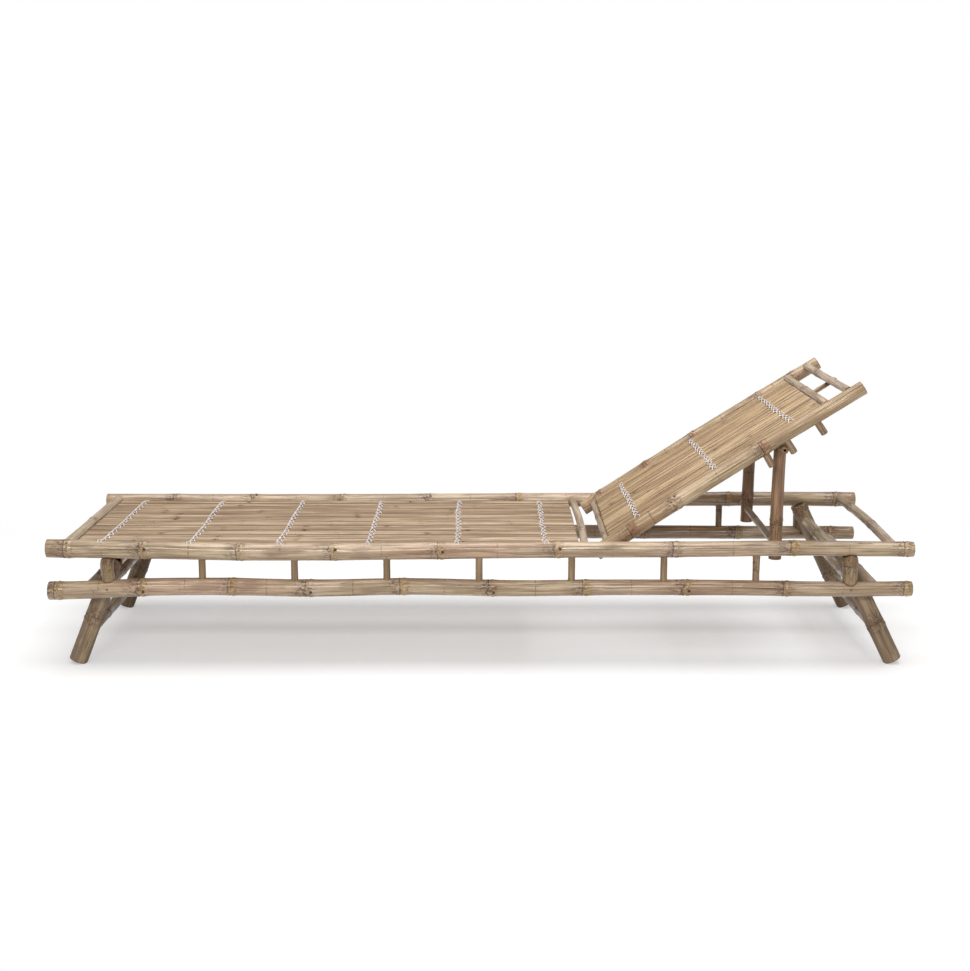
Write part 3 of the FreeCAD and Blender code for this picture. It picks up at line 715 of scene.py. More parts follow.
class Finish:
    """The nodes of a material or of the world. Its node method adds every node in them."""

    def __init__(self, owner):
        owner.use_nodes = True
        self.owner = owner
        self.tree = owner.node_tree
        self.tree.nodes.clear()

    def node(self, kind, settings, inputs, output=0):
        """A new node: its settings first, then each socket's value or link."""
        made = self.tree.nodes.new(kind)
        for key, value in settings.items():
            setattr(made, key, value)
        for key, value in inputs.items():
            if isinstance(value, Socket):
                self.tree.links.new(value.output, made.inputs[key])
            else:
                made.inputs[key].default_value = value
        return Socket(self, made.outputs[output]) if made.outputs else made

    def attribute(self, name):
        """A vector kept at each point of the mesh."""
        return self.node("ShaderNodeAttribute", {"attribute_name": name}, {}, 1)

    def rays(self, *kinds):
        """For each kind of ray, 1 where such a ray meets the surface and 0 elsewhere."""
        return [self.node("ShaderNodeLightPath", {}, {}, kind) for kind in kinds]

    def noise(self, place, stretch, detail=2.0, roughness=0.5, distortion=0.0):
        """Soft noise from about 0.3 to 0.7, whose grains are one over stretch metres large."""
        return self.node("ShaderNodeTexNoise", {}, {
            "Vector": place * stretch, "Scale": 1.0, "Detail": detail, "Roughness": roughness,
            "Distortion": distortion})

    def step(self, value, low, high):
        """Smooth step from 0 at low to 1 at high."""
        return self.node("ShaderNodeMapRange", {"interpolation_type": "SMOOTHSTEP"},
                         {"Value": value, "From Min": low, "From Max": high})

    def near(self, value, centre, width):
        """1 where a value is at the centre, falling smoothly to 0 a width away from it."""
        distance = self.node("ShaderNodeMath", {"operation": "ABSOLUTE"}, {0: value - centre})
        return self.step(distance, width, 0.0)

    def root(self, value):
        """Square root of a number."""
        return self.node("ShaderNodeMath", {"operation": "SQRT"}, {0: value})

    def far_from(self, along, across):
        """Distance from a place that lies this far along and across."""
        return self.root(along * along + across * across)

    def mix(self, share, first, second):
        """From the first colour to the second."""
        return self.node("ShaderNodeMix", {"data_type": "RGBA"}, {0: share, 6: first, 7: second}, 2)

    def layered(self, base, *layers):
        """A colour with others laid over it in turn, each as strongly as its share says."""
        for share, tint in layers:
            base = self.mix(share, base, tint)
        return base

    def bump(self, height, distance):
        """The surface's normal, tilted by a height that varies over it."""
        inputs = {"Height": height, "Distance": distance, "Strength": 1.0}
        return self.node("ShaderNodeBump", {}, inputs)

    def surface(self, base, roughness, normal, **constants):
        """The shader itself, with its output. The constants are set on its own sockets."""
        inputs = {"Base Color": base, "Roughness": roughness, "Normal": normal}
        inputs.update({key.replace("_", " "): value for key, value in constants.items()})
        shader = self.node("ShaderNodeBsdfPrincipled", {}, inputs)
        self.node("ShaderNodeOutputMaterial", {}, {"Surface": shader})
        return self.owner


# Dark browns for real stains and scars, also used as painted shade in cracks, in the bore and along
# board seams
stain_and_shade = colour(78, 52, 33)
scorch_and_shade = colour(40, 26, 17)
umber = colour(112, 86, 60)
rust = colour(138, 90, 58)


def cut_end(finish, grain, depth):
    """Colour of a sawn end: pale wood with darker fibre dots, brown towards the skin, and
    painted shade inside the bore."""
    dots = finish.noise(grain, (120.0, 1100.0, 1100.0), detail=1.0)
    rings = finish.noise(grain, (30.0, 160.0, 160.0), detail=3.0)
    return finish.layered(
        colour(168, 138, 100),
        (finish.step(dots, 0.42, 0.62), colour(112, 84, 58)),
        (finish.step(rings, 0.45, 0.65), colour(96, 72, 50)),
        (finish.step(depth, 0.55, 1.0), colour(116, 84, 54)),
        # painted shade on the inside of the bore
        (finish.step(depth, -0.2, -0.8), colour(58, 42, 30)))


def bamboo(name, straw, tan, grey, band, banding=1.0, rough=0.42, gloss=0.5):
    """Skin of a dried bamboo pole, streaked along the fibres.

    Four sizes of streaks tint straw into tan and brown, weathered patches are grey and
    dull, each node has a dark scar line with a patchy band after it, rusty patches and brown
    specks round it, a bud is an eye-shaped ring with a dark pit, and cracks run with the
    grain, with painted shade along them and at their bottoms.
    """
    finish = Finish(bpy.data.materials.new(name))
    grain = finish.attribute("grain")
    past, bud_along, bud_across = finish.attribute("mark").parts()
    light, cut, depth = finish.attribute("tone").parts()

    broad = finish.noise(grain, (5.0, 60.0, 60.0), detail=2.0)
    streak = finish.noise(grain, (7.0, 240.0, 240.0), detail=3.0, roughness=0.6)
    line = finish.noise(grain, (9.0, 620.0, 620.0), detail=2.0)
    fibre = finish.noise(grain, (45.0, 1500.0, 1500.0), detail=2.0)
    patch = finish.noise(grain, (11.0, 34.0, 34.0), detail=4.0, roughness=0.6)
    speck = finish.noise(grain, (260.0, 460.0, 460.0), detail=2.0)
    smudge = finish.noise(grain, (60.0, 95.0, 95.0), detail=3.0, roughness=0.6)
    mottle = finish.noise(grain, (80.0, 160.0, 160.0), detail=4.0, roughness=0.7)
    mood = finish.noise(grain, (4.3, 7.0, 7.0), detail=0.0)
    tint = finish.noise(grain, (2.1, 16.0, 16.0), detail=1.0)
    split = finish.noise(grain, (5.0, 430.0, 430.0), detail=1.0)

    skin = finish.layered(
        straw,
        (finish.step(broad + light * 0.08, 0.36, 0.64), tan),
        (finish.step(streak, 0.50, 0.62) * 0.66, tan),
        (finish.step(streak, 0.47, 0.36) * 0.60, straw),
        (finish.step(patch - light * 0.05, 0.51, 0.62) * 0.55, grey))
    skin = finish.mix(finish.step(tint, 0.52, 0.62) * 0.8, skin, skin * (1.03, 0.95, 0.92))
    skin = finish.mix(finish.step(tint, 0.47, 0.37) * 0.7, skin, skin * (0.96, 0.99, 0.90))
    open_split = finish.step(split, 0.70, 0.735)
    skin = finish.layered(
        skin,
        (finish.step(line, 0.54, 0.63) * 0.60, umber),
        (finish.step(fibre, 0.50, 0.72) * 0.26, stain_and_shade),
        # painted shade: a dark line where a thin crack opens
        (open_split * 0.75, scorch_and_shade))

    after = finish.step(past, -0.0015, 0.001) * finish.step(past, 0.0215, 0.0165)
    golden = finish.step(mood, 0.42, 0.54) * 0.52 + 0.16
    before = finish.step(past, -0.034, -0.003) * finish.step(past, 0.001, -0.001)
    rusty = finish.step(mottle, 0.46, 0.60) * finish.step(mood, 0.50, 0.44)
    around = finish.near(past, -0.004, 0.044)
    ringing = (finish.step(smudge, 0.35, 0.6) * 0.55 + 0.25) * (0.55 + 0.5 * banding)
    skin = finish.layered(
        skin,
        (after * golden * finish.step(smudge, 0.28, 0.55) * banding, band),
        (after * finish.step(smudge, 0.53, 0.70) * 0.42, stain_and_shade),
        (before * finish.step(smudge, 0.48, 0.66) * 0.38, stain_and_shade),
        (finish.near(past, 0.002, 0.030) * rusty * 0.5, rust),
        (around * finish.step(speck, 0.55, 0.65) * 0.8, stain_and_shade),
        (around * finish.step(mottle, 0.51, 0.59) * 0.62, stain_and_shade),
        (finish.near(past, 0.0, 0.0024) * ringing, scorch_and_shade),
        (finish.near(past, 0.0195, 0.0018) * finish.step(smudge, 0.42, 0.60) * 0.32, stain_and_shade))

    from_eye = finish.far_from((bud_along - 0.005) * 0.5, bud_across)
    from_pit = finish.far_from(bud_along - bud_pit, bud_across)
    pit = finish.step(from_pit, 0.0052, 0.0024)
    skin = finish.layered(
        skin,
        (finish.near(from_eye, 0.0046, 0.0013) * 0.62, scorch_and_shade),
        (finish.step(from_eye, 0.0046, 0.0020) * 0.25, tan),
        (pit * 0.55, stain_and_shade),
        (finish.step(from_pit, 0.0028, 0.0016) * 0.95, scorch_and_shade),
        # painted shade: darker towards the bottom of each crack, where the depth falls
        (finish.step(depth, 0.75, 0.10) * 0.9, scorch_and_shade))

    base = finish.mix(cut, skin, cut_end(finish, grain, depth))
    relief = fibre * 0.4 + line * 0.5 + streak * 0.6 - open_split * 1.5
    normal = finish.bump(relief, 0.0004)
    dull = finish.step(patch, 0.42, 0.62)
    roughness = rough + dull * 0.16 + cut * 0.25
    shine = (1.0 - dull * 0.85) * (1.0 - cut) * (1.0 - pit) * gloss
    return finish.surface(base, roughness, normal, Coat_Weight=shine, Coat_Roughness=0.16,
                          Coat_IOR=1.62, Specular_IOR_Level=0.4)


def split_bamboo(name, straw, tan, deep, grey):
    """Flattened bamboo boards: each strip in its own tone, long dark streaks, painted shade along
    the cracks and board edges, and small brown knots where the nodes were."""
    finish = Finish(bpy.data.materials.new(name))
    grain = finish.attribute("grain")
    past, crack, painted_seam_shade = finish.attribute("mark").parts()
    light, cut, underneath = finish.attribute("tone").parts()

    broad = finish.noise(grain, (3.5, 60.0, 20.0), detail=2.0)
    streak = finish.noise(grain, (4.5, 190.0, 60.0), detail=3.0, roughness=0.62)
    line = finish.noise(grain, (4.0, 520.0, 150.0), detail=2.0)
    fibre = finish.noise(grain, (30.0, 2000.0, 600.0), detail=2.0)
    patch = finish.noise(grain, (7.0, 36.0, 20.0), detail=4.0, roughness=0.6)
    smudge = finish.noise(grain, (45.0, 130.0, 60.0), detail=3.0)
    knot = finish.noise(grain, (8.0, 34.0, 5.0), detail=1.0)
    flake = finish.noise(grain, (26.0, 170.0, 60.0), detail=3.0, roughness=0.6)

    around = finish.near(past, 0.0, 0.016)
    scar = finish.near(past, 0.0, 0.0016)
    pit = finish.near(past, 0.0, 0.0055) * finish.step(knot, 0.635, 0.68)
    wood = finish.layered(
        straw,
        (finish.step(broad + light * 0.18, 0.36, 0.64), tan),
        (finish.step(streak, 0.48, 0.62) * 0.80, deep),
        (finish.step(streak, 0.50, 0.30) * 0.6, straw),
        (finish.step(patch + light * 0.03, 0.50, 0.66) * 0.65, grey),
        (finish.step(line, 0.55, 0.63) * 0.78, umber),
        (finish.step(fibre, 0.52, 0.74) * 0.22, stain_and_shade),
        (finish.step(flake, 0.64, 0.70) * 0.5, straw),
        (around * finish.step(knot, 0.52, 0.64) * (0.25 + smudge * 0.6), stain_and_shade),
        (scar * finish.step(smudge, 0.40, 0.60) * 0.28, scorch_and_shade),
        (pit * 0.85, scorch_and_shade),
        # painted shade along the cracks and board edges
        (finish.step(painted_seam_shade, 0.08, 0.80) * 0.62, umber),
        (finish.step(painted_seam_shade, 0.55, 1.0) * 0.70, stain_and_shade),
        # painted shade in the groove of each crack
        (finish.step(crack, 0.25, 0.80) * 0.85, scorch_and_shade),
        (underneath * 0.5, tan))
    base = finish.mix(cut, wood, cut_end(finish, grain, 0.4))
    relief = fibre * 0.4 + line * 0.5 + streak * 0.7
    normal = finish.bump(relief, 0.0006)
    roughness = 0.50 + finish.step(patch, 0.40, 0.66) * 0.14 + cut * 0.2
    shine = (1.0 - finish.step(patch, 0.42, 0.62)) * (1.0 - cut) * 0.15
    return finish.surface(base, roughness, normal, Coat_Weight=shine, Coat_Roughness=0.25,
                          Specular_IOR_Level=0.36)


def whittled(name, pale, dark):
    """Bare wood of the pegs and pins: straight grain with darker lines and cut ends."""
    finish = Finish(bpy.data.materials.new(name))
    grain = finish.attribute("grain")
    _light, cut, depth = finish.attribute("tone").parts()
    line = finish.noise(grain, (16.0, 420.0, 420.0), detail=3.0, roughness=0.6)
    soft = finish.noise(grain, (22.0, 60.0, 60.0), detail=2.0)
    base = finish.layered(
        pale,
        (finish.step(line, 0.38, 0.64), dark),
        (finish.step(soft, 0.50, 0.70) * 0.4, stain_and_shade),
        (cut * 0.8, cut_end(finish, grain, depth)))
    normal = finish.bump(line, 0.0005)
    return finish.surface(base, 0.55 + soft * 0.2, normal, Specular_IOR_Level=0.35)


def twisted_cord(name):
    """White cotton cord with a faint lilac cast: its twist lifts it, with painted shade in its grooves.
    """
    finish = Finish(bpy.data.materials.new(name))
    grain = finish.attribute("grain")
    along, turn, _piece = grain.parts()
    phase = (turn * 3.0 - along * 273.0) * (2 * math.pi)
    lay = finish.node("ShaderNodeMath", {"operation": "SINE"}, {0: phase})
    fuzz = finish.noise(grain, (1400.0, 9.0, 1.0), detail=2.0)
    soil = finish.noise(grain, (35.0, 1.0, 9.0), detail=2.0)
    white = finish.layered(
        colour(250, 245, 240),
        (finish.step(soil, 0.38, 0.66), colour(238, 226, 228)),
        # painted shade in the grooves between the twist's plies
        (finish.step(lay, 0.2, -0.9) * 0.25, colour(182, 164, 160)))
    normal = finish.bump(lay * 0.6 + fuzz, 0.0005)
    return finish.surface(white, 0.85 + fuzz * 0.1, normal, Specular_IOR_Level=0.2, Sheen_Weight=0.25)


side_skin = bamboo("side_pole_bamboo", colour(210, 184, 153), colour(164, 135, 105),
                   colour(160, 139, 122), colour(184, 148, 88), gloss=0.85)
back_skin = bamboo("backrest_pole_bamboo", colour(208, 182, 144), colour(168, 138, 102),
                   colour(160, 138, 112), colour(148, 94, 58), banding=1.0, gloss=0.65)
leg_skin = bamboo("leg_pole_bamboo", colour(176, 152, 122), colour(136, 112, 86),
                  colour(132, 114, 97), colour(150, 120, 82), banding=0.3, rough=0.5, gloss=0.25)
prop_skin = bamboo("prop_pole_bamboo", colour(184, 146, 111), colour(128, 95, 70),
                   colour(140, 113, 94), colour(142, 104, 72), banding=0.2, rough=0.48, gloss=0.25)
bar_skin = bamboo("cross_bar_bamboo", colour(214, 194, 170), colour(172, 147, 119),
                  colour(168, 151, 138), colour(168, 132, 90), banding=0.6, gloss=0.45)
spindle_skin = bamboo("spindle_bamboo", colour(178, 151, 112), colour(140, 110, 79),
                      colour(142, 126, 98), colour(120, 92, 62), banding=0.3, gloss=0.3)
board_wood = split_bamboo("split_board_bamboo", colour(214, 190, 160), colour(178, 150, 119),
                          colour(132, 103, 75), colour(152, 133, 113))
back_board_wood = split_bamboo("back_board_bamboo", colour(212, 184, 145), colour(184, 152, 113),
                               colour(134, 102, 70), colour(160, 137, 108))
peg_wood = whittled("peg_wood", colour(178, 152, 124), colour(134, 106, 82))
lash_cord = twisted_cord("lashing_cotton")


def in_radians(rows):
    """Rows that end with an angle in degrees, with that angle in radians."""
    return [(*row[:-1], math.radians(row[-1])) for row in rows]


def rail_radius(x):
    """Radius of a side rail at a place along the recliner."""
    return rail_foot_radius + (x / rail_length + 0.5) * (rail_head_radius - rail_foot_radius)


# Side frames: node places from the foot end, buds as a node's number and the way it faces,
# cracks as two places and an angle, and the axis's offsets sideways and upwards at shares
# of the length. Angle 90 is straight up, and 166 faces the camera.
rails = {
    "top_rail_front": {
        "nodes": (0.042, 0.216, 0.439, 0.655, 0.902, 1.172, 1.443, 1.714, 1.976),
        "buds": ((1, 166), (3, 155), (4, 178), (5, 163), (6, 20)),
        "cracks": ((0.004, 0.040, 168), (0.003, 0.030, 190), (1.478, 1.590, 166),
                   (1.86, 1.91, 120)),
        "bends": ((0, 0, 0.0045), (0.12, 0, 0.001), (0.21, 0, -0.003), (0.5, 0.001, 0.0),
                  (0.79, 0, 0.0035), (0.86, 0, 0.005), (0.95, 0, 0.003), (1, 0, 0.003)),
        "radii": (rail_foot_radius, rail_head_radius),
    },
    "lower_rail_front": {
        "nodes": (0.016, 0.210, 0.418, 0.597, 0.814, 1.019, 1.236, 1.470, 1.700, 1.978),
        "buds": ((1, 197), (3, 196), (5, 200), (7, 194)),
        "cracks": ((0.002, 0.024, 175), (1.12, 1.165, 150)),
        "bends": ((0, 0, -0.007), (0.06, 0, -0.003), (0.13, 0, 0.002), (0.2, 0, 0.003),
                  (0.3, 0, -0.0005), (0.42, 0, 0.003), (0.54, 0, -0.001), (0.66, 0, 0.001),
                  (0.8, 0, 0), (0.88, 0, -0.0025), (1, 0, -0.002)),
        "radii": (rail_foot_radius, rail_head_radius),
    },
    "top_rail_back": {
        "nodes": (0.179, 0.389, 0.624, 0.854, 1.094, 1.372, 1.654, 1.940),
        "buds": ((1, 115), (3, 131), (5, 340), (6, 20)),
        "cracks": ((0.003, 0.050, 20), (1.05, 1.14, 350)),
        "bends": ((0, 0, -0.0025), (0.3, 0, -0.004), (0.6, 0, -0.001), (0.85, 0, 0.0015),
                  (1, 0, 0.001)),
        "radii": (0.0182, 0.0190),
    },
    "lower_rail_back": {
        "nodes": (0.022, 0.230, 0.455, 0.690, 0.930, 1.180, 1.430, 1.681, 1.930),
        "buds": ((1, 350), (3, 190), (5, 15)),
        "cracks": ((0.003, 0.035, 340), (0.55, 0.66, 20)),
        "bends": ((0, 0, -0.004), (0.25, 0, 0.0), (0.6, 0, 0.001), (0.9, 0, -0.001), (1, 0, -0.002)),
        "radii": (rail_foot_radius, rail_head_radius),
    },
}
for node, shape in rails.items():
    low, high = span(node)
    y, z = middle(node)[1:]
    pole = culm(node, (low[0], y, z), (high[0], y, z), shape["radii"], shape["nodes"],
                in_radians(shape["buds"]), in_radians(shape["cracks"]), bends=shape["bends"],
                wall=rail_wall, bores=rail_bores, around=72)
    make(node, [pole], side_skin)

spindle_shade = (-0.6, 0.2, 0.4, -0.3, -0.5, 1.2, 0.6)
for side in SIDES:
    low, high = span("spindles_" + side)
    y = middle("spindles_" + side)[1]
    uprights = []
    last = len(spindle_shade) - 1
    for index, shade in enumerate(spindle_shade):
        x = low[0] + spindle_radius + index / last * (high[0] - low[0] - 2 * spindle_radius)
        label = "spindle_%s_%d" % (side, index)
        knots = (high[2] - low[2] - spindle_node_drop,) if index == last else ()
        upright = culm(label, (x, y, low[2]), (x, y, high[2]),
                       (spindle_radius, spindle_radius * thin_taper), knots, bow=0.0003, around=28,
                       kink=0.0001, shade=shade)
        uprights.append(upright)
    make("spindles_" + side, uprights, spindle_skin)

for end, radius, knot in (("foot", foot_post_radius, 0.046), ("head", head_post_radius, 0.034)):
    for side in SIDES:
        node = "%s_post_%s" % (end, side)
        x, y = middle(node)[:2]
        rail = rail_radius(x)
        low = middle("lower_rail_" + side)[2] + rail
        high = middle("top_rail_" + side)[2] - rail
        upright = culm(node, (x, y, low), (x, y, high), (radius, radius * thin_taper), (knot,),
                       bow=0.0, cuts=(cope(rail), cope(rail)), around=56)
        make(node, [upright], spindle_skin)

pins = []
pin_low, pin_high = span("post_pins")
for side, sign in SIDES.items():
    outer = pin_low[1] if sign < 0 else pin_high[1]
    for end in ("foot", "head"):
        x = middle("%s_post_%s" % (end, side))[0]
        z = middle("post_pins")[2]
        label = "pin_%s_%s" % (side, end)
        inner = outer - sign * post_pin_length
        pins.append(dowel(label, (x, inner, z), (x, outer, z), post_pin_radius))
make("post_pins", pins, peg_wood)

# Cross bars of the side frames: the rails that carry each, its radius, its nodes where the
# photograph shows them and how far it bows
frame_bars = {
    "foot_end_bar": ("top", 0.0118, (0.275,), 0.001),
    "deck_end_bar": ("top", 0.0095, (0.17,), 0.004),
    "head_end_bar": ("top", 0.0115, (0.228, 0.448), 0.006),
    "foot_stop_bar": ("lower", stop_bar_radius, (0.15, 0.40), 0.001),
    "head_stop_bar": ("lower", stop_bar_radius, (0.20, 0.45), 0.001),
}
for node, (level, radius, knots, bow) in frame_bars.items():
    x, _y, z = middle(node)
    rail = rail_radius(x)
    shoulder = middle(level + "_rail_back")[1] - rail
    fit = cope(rail, z - middle(level + "_rail_front")[2])
    bar = crossbar(node, x, z, shoulder, radius, knots, bar_taper, cuts=(fit, fit), around=48,
                   bends=((0, 0, 0), (0.5, bow * 0.3, bow), (1, 0, 0)))
    make(node, [bar], bar_skin)


def stitch_row(low, high):
    """Places across the recliner where a lashing goes down between the boards."""
    first, last = low[1] + cord_inset, high[1] - cord_inset
    return np.linspace(first, last, int(round((last - first) / stitch_pitch)) + 1)


# Deck: boards, battens and lashings
deck_shade = (-0.7, 0.0, -0.5, 0.3, -0.2, 0.4, 0.6, 0.2, 0.5)
for number, shade in enumerate(deck_shade, 1):
    node = "deck_board_%d" % number
    make(node, [board(node, *span(node), shade=shade)], board_wood)

low, high = span("deck_battens")
batten_z = low[2] + batten_radius
batten_x = np.linspace(low[0] + batten_radius, high[0] - batten_radius, deck_batten_count)
rail_y = middle("top_rail_back")[1]
battens = [crossbar("deck_batten_%d" % index, x, batten_z, rail_y - deck_batten_gap, batten_radius,
                    (0.13 + 0.02 * index, 0.38), around=28)
           for index, x in enumerate(batten_x)]
make("deck_battens", battens, bar_skin)

deck_top = span("deck_board_1")[1][2]
deck_row = stitch_row(*span("deck_lashings"))
table = np.array(rails["top_rail_front"]["bends"])
_x, y, z = middle("top_rail_front")
stitches = []
for index, x in enumerate(batten_x):
    lift = through(table[:, 0], table[:, 2], x / rail_length + 0.5)
    tie = (tie_place, y, z + lift, rail_radius(x))
    stitches += lashing("deck_lashing_%d" % index, x, deck_row, deck_top, batten_z, tie)
make("deck_lashings", stitches, lash_cord)

# Backrest, built flat about its hinge and then leant back
hinge = pivot["backrest_hinge"]
back_y = middle("back_rail_back")[1]


def lean_back(surface):
    """A surface of the backrest, from its own axes to its place."""
    return surface.placed(backrest_slope, hinge)


def back_radius(place):
    """Radius of a backrest pole at a distance up the slope."""
    share = (place + back_tail) / (back_length + back_tail)
    return back_foot_radius + share * (back_top_radius - back_foot_radius)


back_rails = {
    "back_rail_front": ((0.093, 0.212, 0.451), ((1, 120), (2, 250))),
    "back_rail_back": ((0.053, 0.196, 0.342, 0.536, 0.64), ((1, 60), (2, 100))),
}
for node, (knots, eyes) in back_rails.items():
    y = middle(node)[1]
    pole = culm(node, (-back_tail, y, 0), (back_length, y, 0), (back_foot_radius, back_top_radius),
                knots, in_radians(eyes), bends=((0, 0, 0), (0.5, 0, back_bow), (1, 0, 0)),
                wall=back_wall, bores=back_bores)
    make(node, [lean_back(pole)], back_skin)

back_bars = {
    "back_axle_bar": (0.0, 0.0, (0.09, 0.30)),
    "back_second_bar": (second_bar_place, back_bar_rise, (0.25,)),
    "back_top_bar": (top_bar_place, back_bar_rise, (0.34,)),
}
for node, (place, rise, knots) in back_bars.items():
    rail = back_radius(place)
    fit = cope(rail, rise)
    surfaces = [crossbar(node, place, rise, back_y - rail, back_bar_radius, knots, bow=0.0008,
                         cuts=(fit, fit), around=44)]
    if node == "back_axle_bar":
        rail_ys = [middle("top_rail_" + side)[1] for side in SIDES]
        surfaces += journals("journal_", back_y, rail_ys, back_journal)
    make(node, [lean_back(surface) for surface in surfaces], bar_skin)


def flat_place(node):
    """Low and high corners of a backrest solid in the backrest's own axes."""
    solid = frame["nodes"][node].data
    points = np.empty(len(solid.vertices) * 3, np.float32)
    solid.vertices.foreach_get("co", points)
    x, y, z = (points.reshape(-1, 3) - hinge).T
    c, s = math.cos(backrest_slope), math.sin(backrest_slope)
    own = np.column_stack([x * c + z * s, y, z * c - x * s])
    return own.min(axis=0), own.max(axis=0)


back_shade = (0.0, -0.4, -0.1, -0.5, 0.0, -0.3, -0.05, -0.45, -0.2)
for number, shade in enumerate(back_shade, 1):
    node = "back_board_%d" % number
    slat = board(node, *flat_place(node), strip=0.0095, groove=0.0026, seam=0.0027, shade=shade)
    make(node, [lean_back(slat)], back_board_wood)

back_batten_z = flat_place("back_battens")[0][2] + batten_radius
back_row = stitch_row(*flat_place("back_lashings"))
battens = []
stitches = []
for index, x in enumerate(back_batten_places):
    battens.append(crossbar("back_batten_%d" % index, x, back_batten_z, back_y - back_batten_gap,
                            batten_radius, (0.10, 0.33), around=28))
    stitches += lashing("back_lashing_%d" % index, x, back_row, back_board_top, back_batten_z)
make("back_battens", [lean_back(batten) for batten in battens], bar_skin)
make("back_lashings", [lean_back(cord) for cord in stitches], lash_cord)

spine = board("back_spine", *flat_place("back_spine"), thickness=spine_thickness, strip=0.013,
              node_places=(0.05,))
make("back_spine", [lean_back(spine)], back_board_wood)
low, high = flat_place("back_spine_pins")
pins = []
for index, x in enumerate((second_bar_place, top_bar_place)):
    pin = dowel("spine_pin_%d" % index, (x, 0, low[2] - spine_pin_sink), (x, 0, high[2]),
                spine_pin_radius, 0.0004, 16)
    pins.append(lean_back(pin))
make("back_spine_pins", pins, peg_wood)

peg_tilt = (0.0022, -0.0010, -0.0016)
pegs = []
for side, sign in SIDES.items():
    for index, place in enumerate(peg_places):
        top = (place, sign * back_y, 0.0)
        bottom = (place + sign * peg_tilt[index], sign * back_y, -back_radius(place) - peg_length)
        peg = dowel("peg_%s_%d" % (side, index), bottom, top, peg_radius, 0.0010)
        pegs.append(lean_back(peg))
make("back_pegs", pegs, peg_wood)

# Prop stand, built upright on its axle and then set to the rod
axle = pivot["prop_hinge"]
arm = middle("prop_rod") - axle
arm_angle = math.atan2(-arm[0], arm[2])
arm_length = math.hypot(arm[0], arm[2])
for node, knots in (("prop_pole_front", (0.085,)), ("prop_pole_back", (0.060, 0.200))):
    y = middle(node)[1]
    pole = culm(node, (0, y, -prop_tail), (0, y, arm_length + prop_head),
                (prop_radius, prop_radius * prop_taper), knots, wall=prop_wall, bores=prop_bores,
                bow=0.001, around=56)
    make(node, [pole.placed(arm_angle, axle)], prop_skin)
reach = span("prop_axle_bar")[1][1] - prop_axle_cover
bar = crossbar("prop_axle_bar", axle[0], axle[2], reach, prop_axle_radius, (0.14, 0.36), bow=0.0,
               kink=0.0, around=40)
make("prop_axle_bar", [bar], bar_skin)
x, _y, z = middle("prop_rod")
reach = span("prop_rod")[1][1]
rod = crossbar("prop_rod", x, z, reach, rod_radius, (0.02, 0.30), thin_taper, bow=0.0, kink=0.0,
               wall=rod_radius - rod_bore_radius, bores=rod_bores, around=40)
make("prop_rod", [rod], bar_skin)

# Leg frames, built hanging straight down from the axle and then leant outwards: the lean,
# how far the legs rise past the axle and the place of their node
leg_frames = {
    "foot": (-foot_leg_lean, leg_top_radius, 0.150),
    "head": (head_leg_lean, head_leg_top, 0.200),
}


def drum_top(_across, along):
    """Cut of a leg's top that rounds it about the axle: sqrt(R^2 - v^2) - R."""
    return np.sqrt(np.maximum(leg_top_radius ** 2 - along ** 2, 0.0)) - leg_top_radius


for end, (lean, top, knot) in leg_frames.items():
    origin = pivot[end + "_legs_fold"]
    leg_y = middle(end + "_leg_back")[1]
    foot = (origin[2] + leg_wear - leg_foot_radius * math.sin(abs(lean))) / math.cos(lean)
    for side, sign in SIDES.items():
        node = "%s_leg_%s" % (end, side)
        top_cut = drum_top if end == "foot" else None
        leg = culm(node, (0, sign * leg_y, top), (0, sign * leg_y, -foot),
                   (leg_top_radius, leg_foot_radius), (0.006, knot), wall=leg_wall, bow=0.001,
                   bores=leg_bores, cuts=(top_cut, None), around=72)
        leg.placed(lean, origin)
        leg.points[:, 2] = np.maximum(leg.points[:, 2], 0.0)
        make(node, [leg], leg_skin)
    for name, place in leg_bar_places.items():
        node = "%s_leg_%s_bar" % (end, name)
        knots = (0.11, 0.33) if name == "axle" else (0.16, 0.40)
        surfaces = [crossbar(node, 0, -place, leg_y - leg_bar_inset, leg_bar_radius, knots, bar_taper,
                             around=48)]
        if name == "axle":
            surfaces += journals(end + "_stub_", leg_y, (-rail_y, rail_y), leg_journal)
        make(node, [surface.placed(lean, origin) for surface in surfaces], bar_skin)


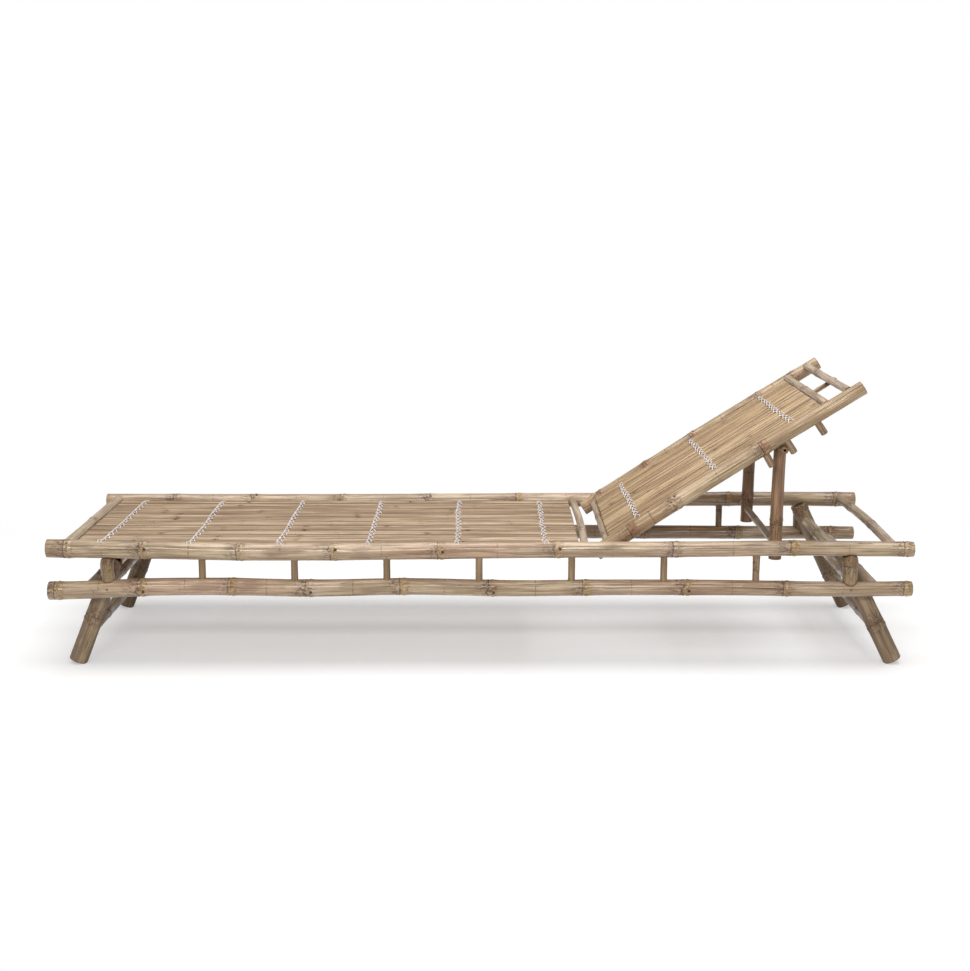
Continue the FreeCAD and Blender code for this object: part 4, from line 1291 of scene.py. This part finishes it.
# Studio: a pale floor, soft lamps and the camera at the photograph's angle
def studio_floor():
    """A large pale floor that keeps the soft shadow and fades to plain white further out.

    It fades over an oval about the recliner, which is longer along it than across.
    """
    size = 30.0
    fade_start = 0.7
    fade_end = 1.9
    squeeze = 0.45
    mesh = bpy.data.meshes.new("studio_floor_mesh")
    corners = [(-size, -size, 0), (size, -size, 0), (size, size, 0), (-size, size, 0)]
    mesh.from_pydata(corners, [], [(0, 1, 2, 3)])
    floor = bpy.data.objects.new("studio_floor", mesh)
    bpy.context.collection.objects.link(floor)
    finish = Finish(bpy.data.materials.new("studio_floor_paint"))
    seen = finish.rays("Is Camera Ray", "Is Glossy Ray", "Is Transmission Ray")
    share = seen[0] + seen[1] + seen[2]
    x, y, _z = finish.node("ShaderNodeTexCoord", {}, {}, "Object").parts()
    far = finish.root(x * x * squeeze + y * y)
    paint = finish.node("ShaderNodeBsdfDiffuse", {}, {"Color": floor_grey})
    lift = {"Color": plain_white, "Strength": share * floor_lift}
    glow = finish.node("ShaderNodeEmission", {}, lift)
    shaded = finish.node("ShaderNodeAddShader", {}, {0: paint, 1: glow})
    white = finish.node("ShaderNodeEmission", {}, {"Color": plain_white, "Strength": 1.0})
    fade = finish.step(far, fade_start, fade_end) * share
    both = finish.node("ShaderNodeMixShader", {}, {0: fade, 1: shaded, 2: white})
    finish.node("ShaderNodeOutputMaterial", {}, {"Surface": both})
    mesh.materials.append(finish.owner)


def lamp(name, place, target, length, width, power):
    """A soft oblong lamp that points at a target."""
    data = bpy.data.lights.new(name, "AREA")
    data.shape = "RECTANGLE"
    data.size = length
    data.size_y = width
    data.energy = power
    made = bpy.data.objects.new(name, data)
    x, y, z = np.array(target) - np.array(place)
    made.location = place
    made.rotation_euler = (math.atan2(math.hypot(x, y), -z), 0.0, math.atan2(y, x) - math.pi / 2)
    bpy.context.collection.objects.link(made)


def studio_world(level):
    """Even pale light from all round, plain white where the camera sees it."""
    finish = Finish(bpy.data.worlds.new("studio"))
    bpy.context.scene.world = finish.owner
    seen = finish.rays("Is Camera Ray", "Is Transmission Ray")
    share = finish.node("ShaderNodeMath", {"operation": "MAXIMUM"}, {0: seen[0], 1: seen[1]})
    levels = {"Value": share, "To Min": level, "To Max": 1.0}
    strength = finish.node("ShaderNodeMapRange", {}, levels)
    glow = finish.node("ShaderNodeBackground", {}, {"Color": plain_white, "Strength": strength})
    finish.node("ShaderNodeOutputWorld", {}, {"Surface": glow})


plain_white = (1.0, 1.0, 1.0, 1.0)
floor_grey = (0.68, 0.68, 0.68, 1.0)
floor_lift = 0.42
world_level = 0.27
studio_floor()
studio_world(world_level)
lamp("top_lamp", (0.1, -0.1, 3.1), (0.1, 0.0, 0.3), 3.4, 2.8, 96.0)
lamp("front_lamp", (0.0, -3.7, 2.05), (0.0, 0.0, 0.3), 3.4, 0.34, 60.0)

camera_data = bpy.data.cameras.new("photo_camera")
camera_data.sensor_width = 36.0
camera_data.lens = 59.97
camera = bpy.data.objects.new("photo_camera", camera_data)
camera.location = (0.011, -3.948, 1.117)
camera.rotation_euler = (math.pi / 2 - 0.185, 0.0, 0.0)
bpy.context.collection.objects.link(camera)
bpy.context.scene.camera = camera
bpy.context.scene.view_settings.view_transform = "Standard"
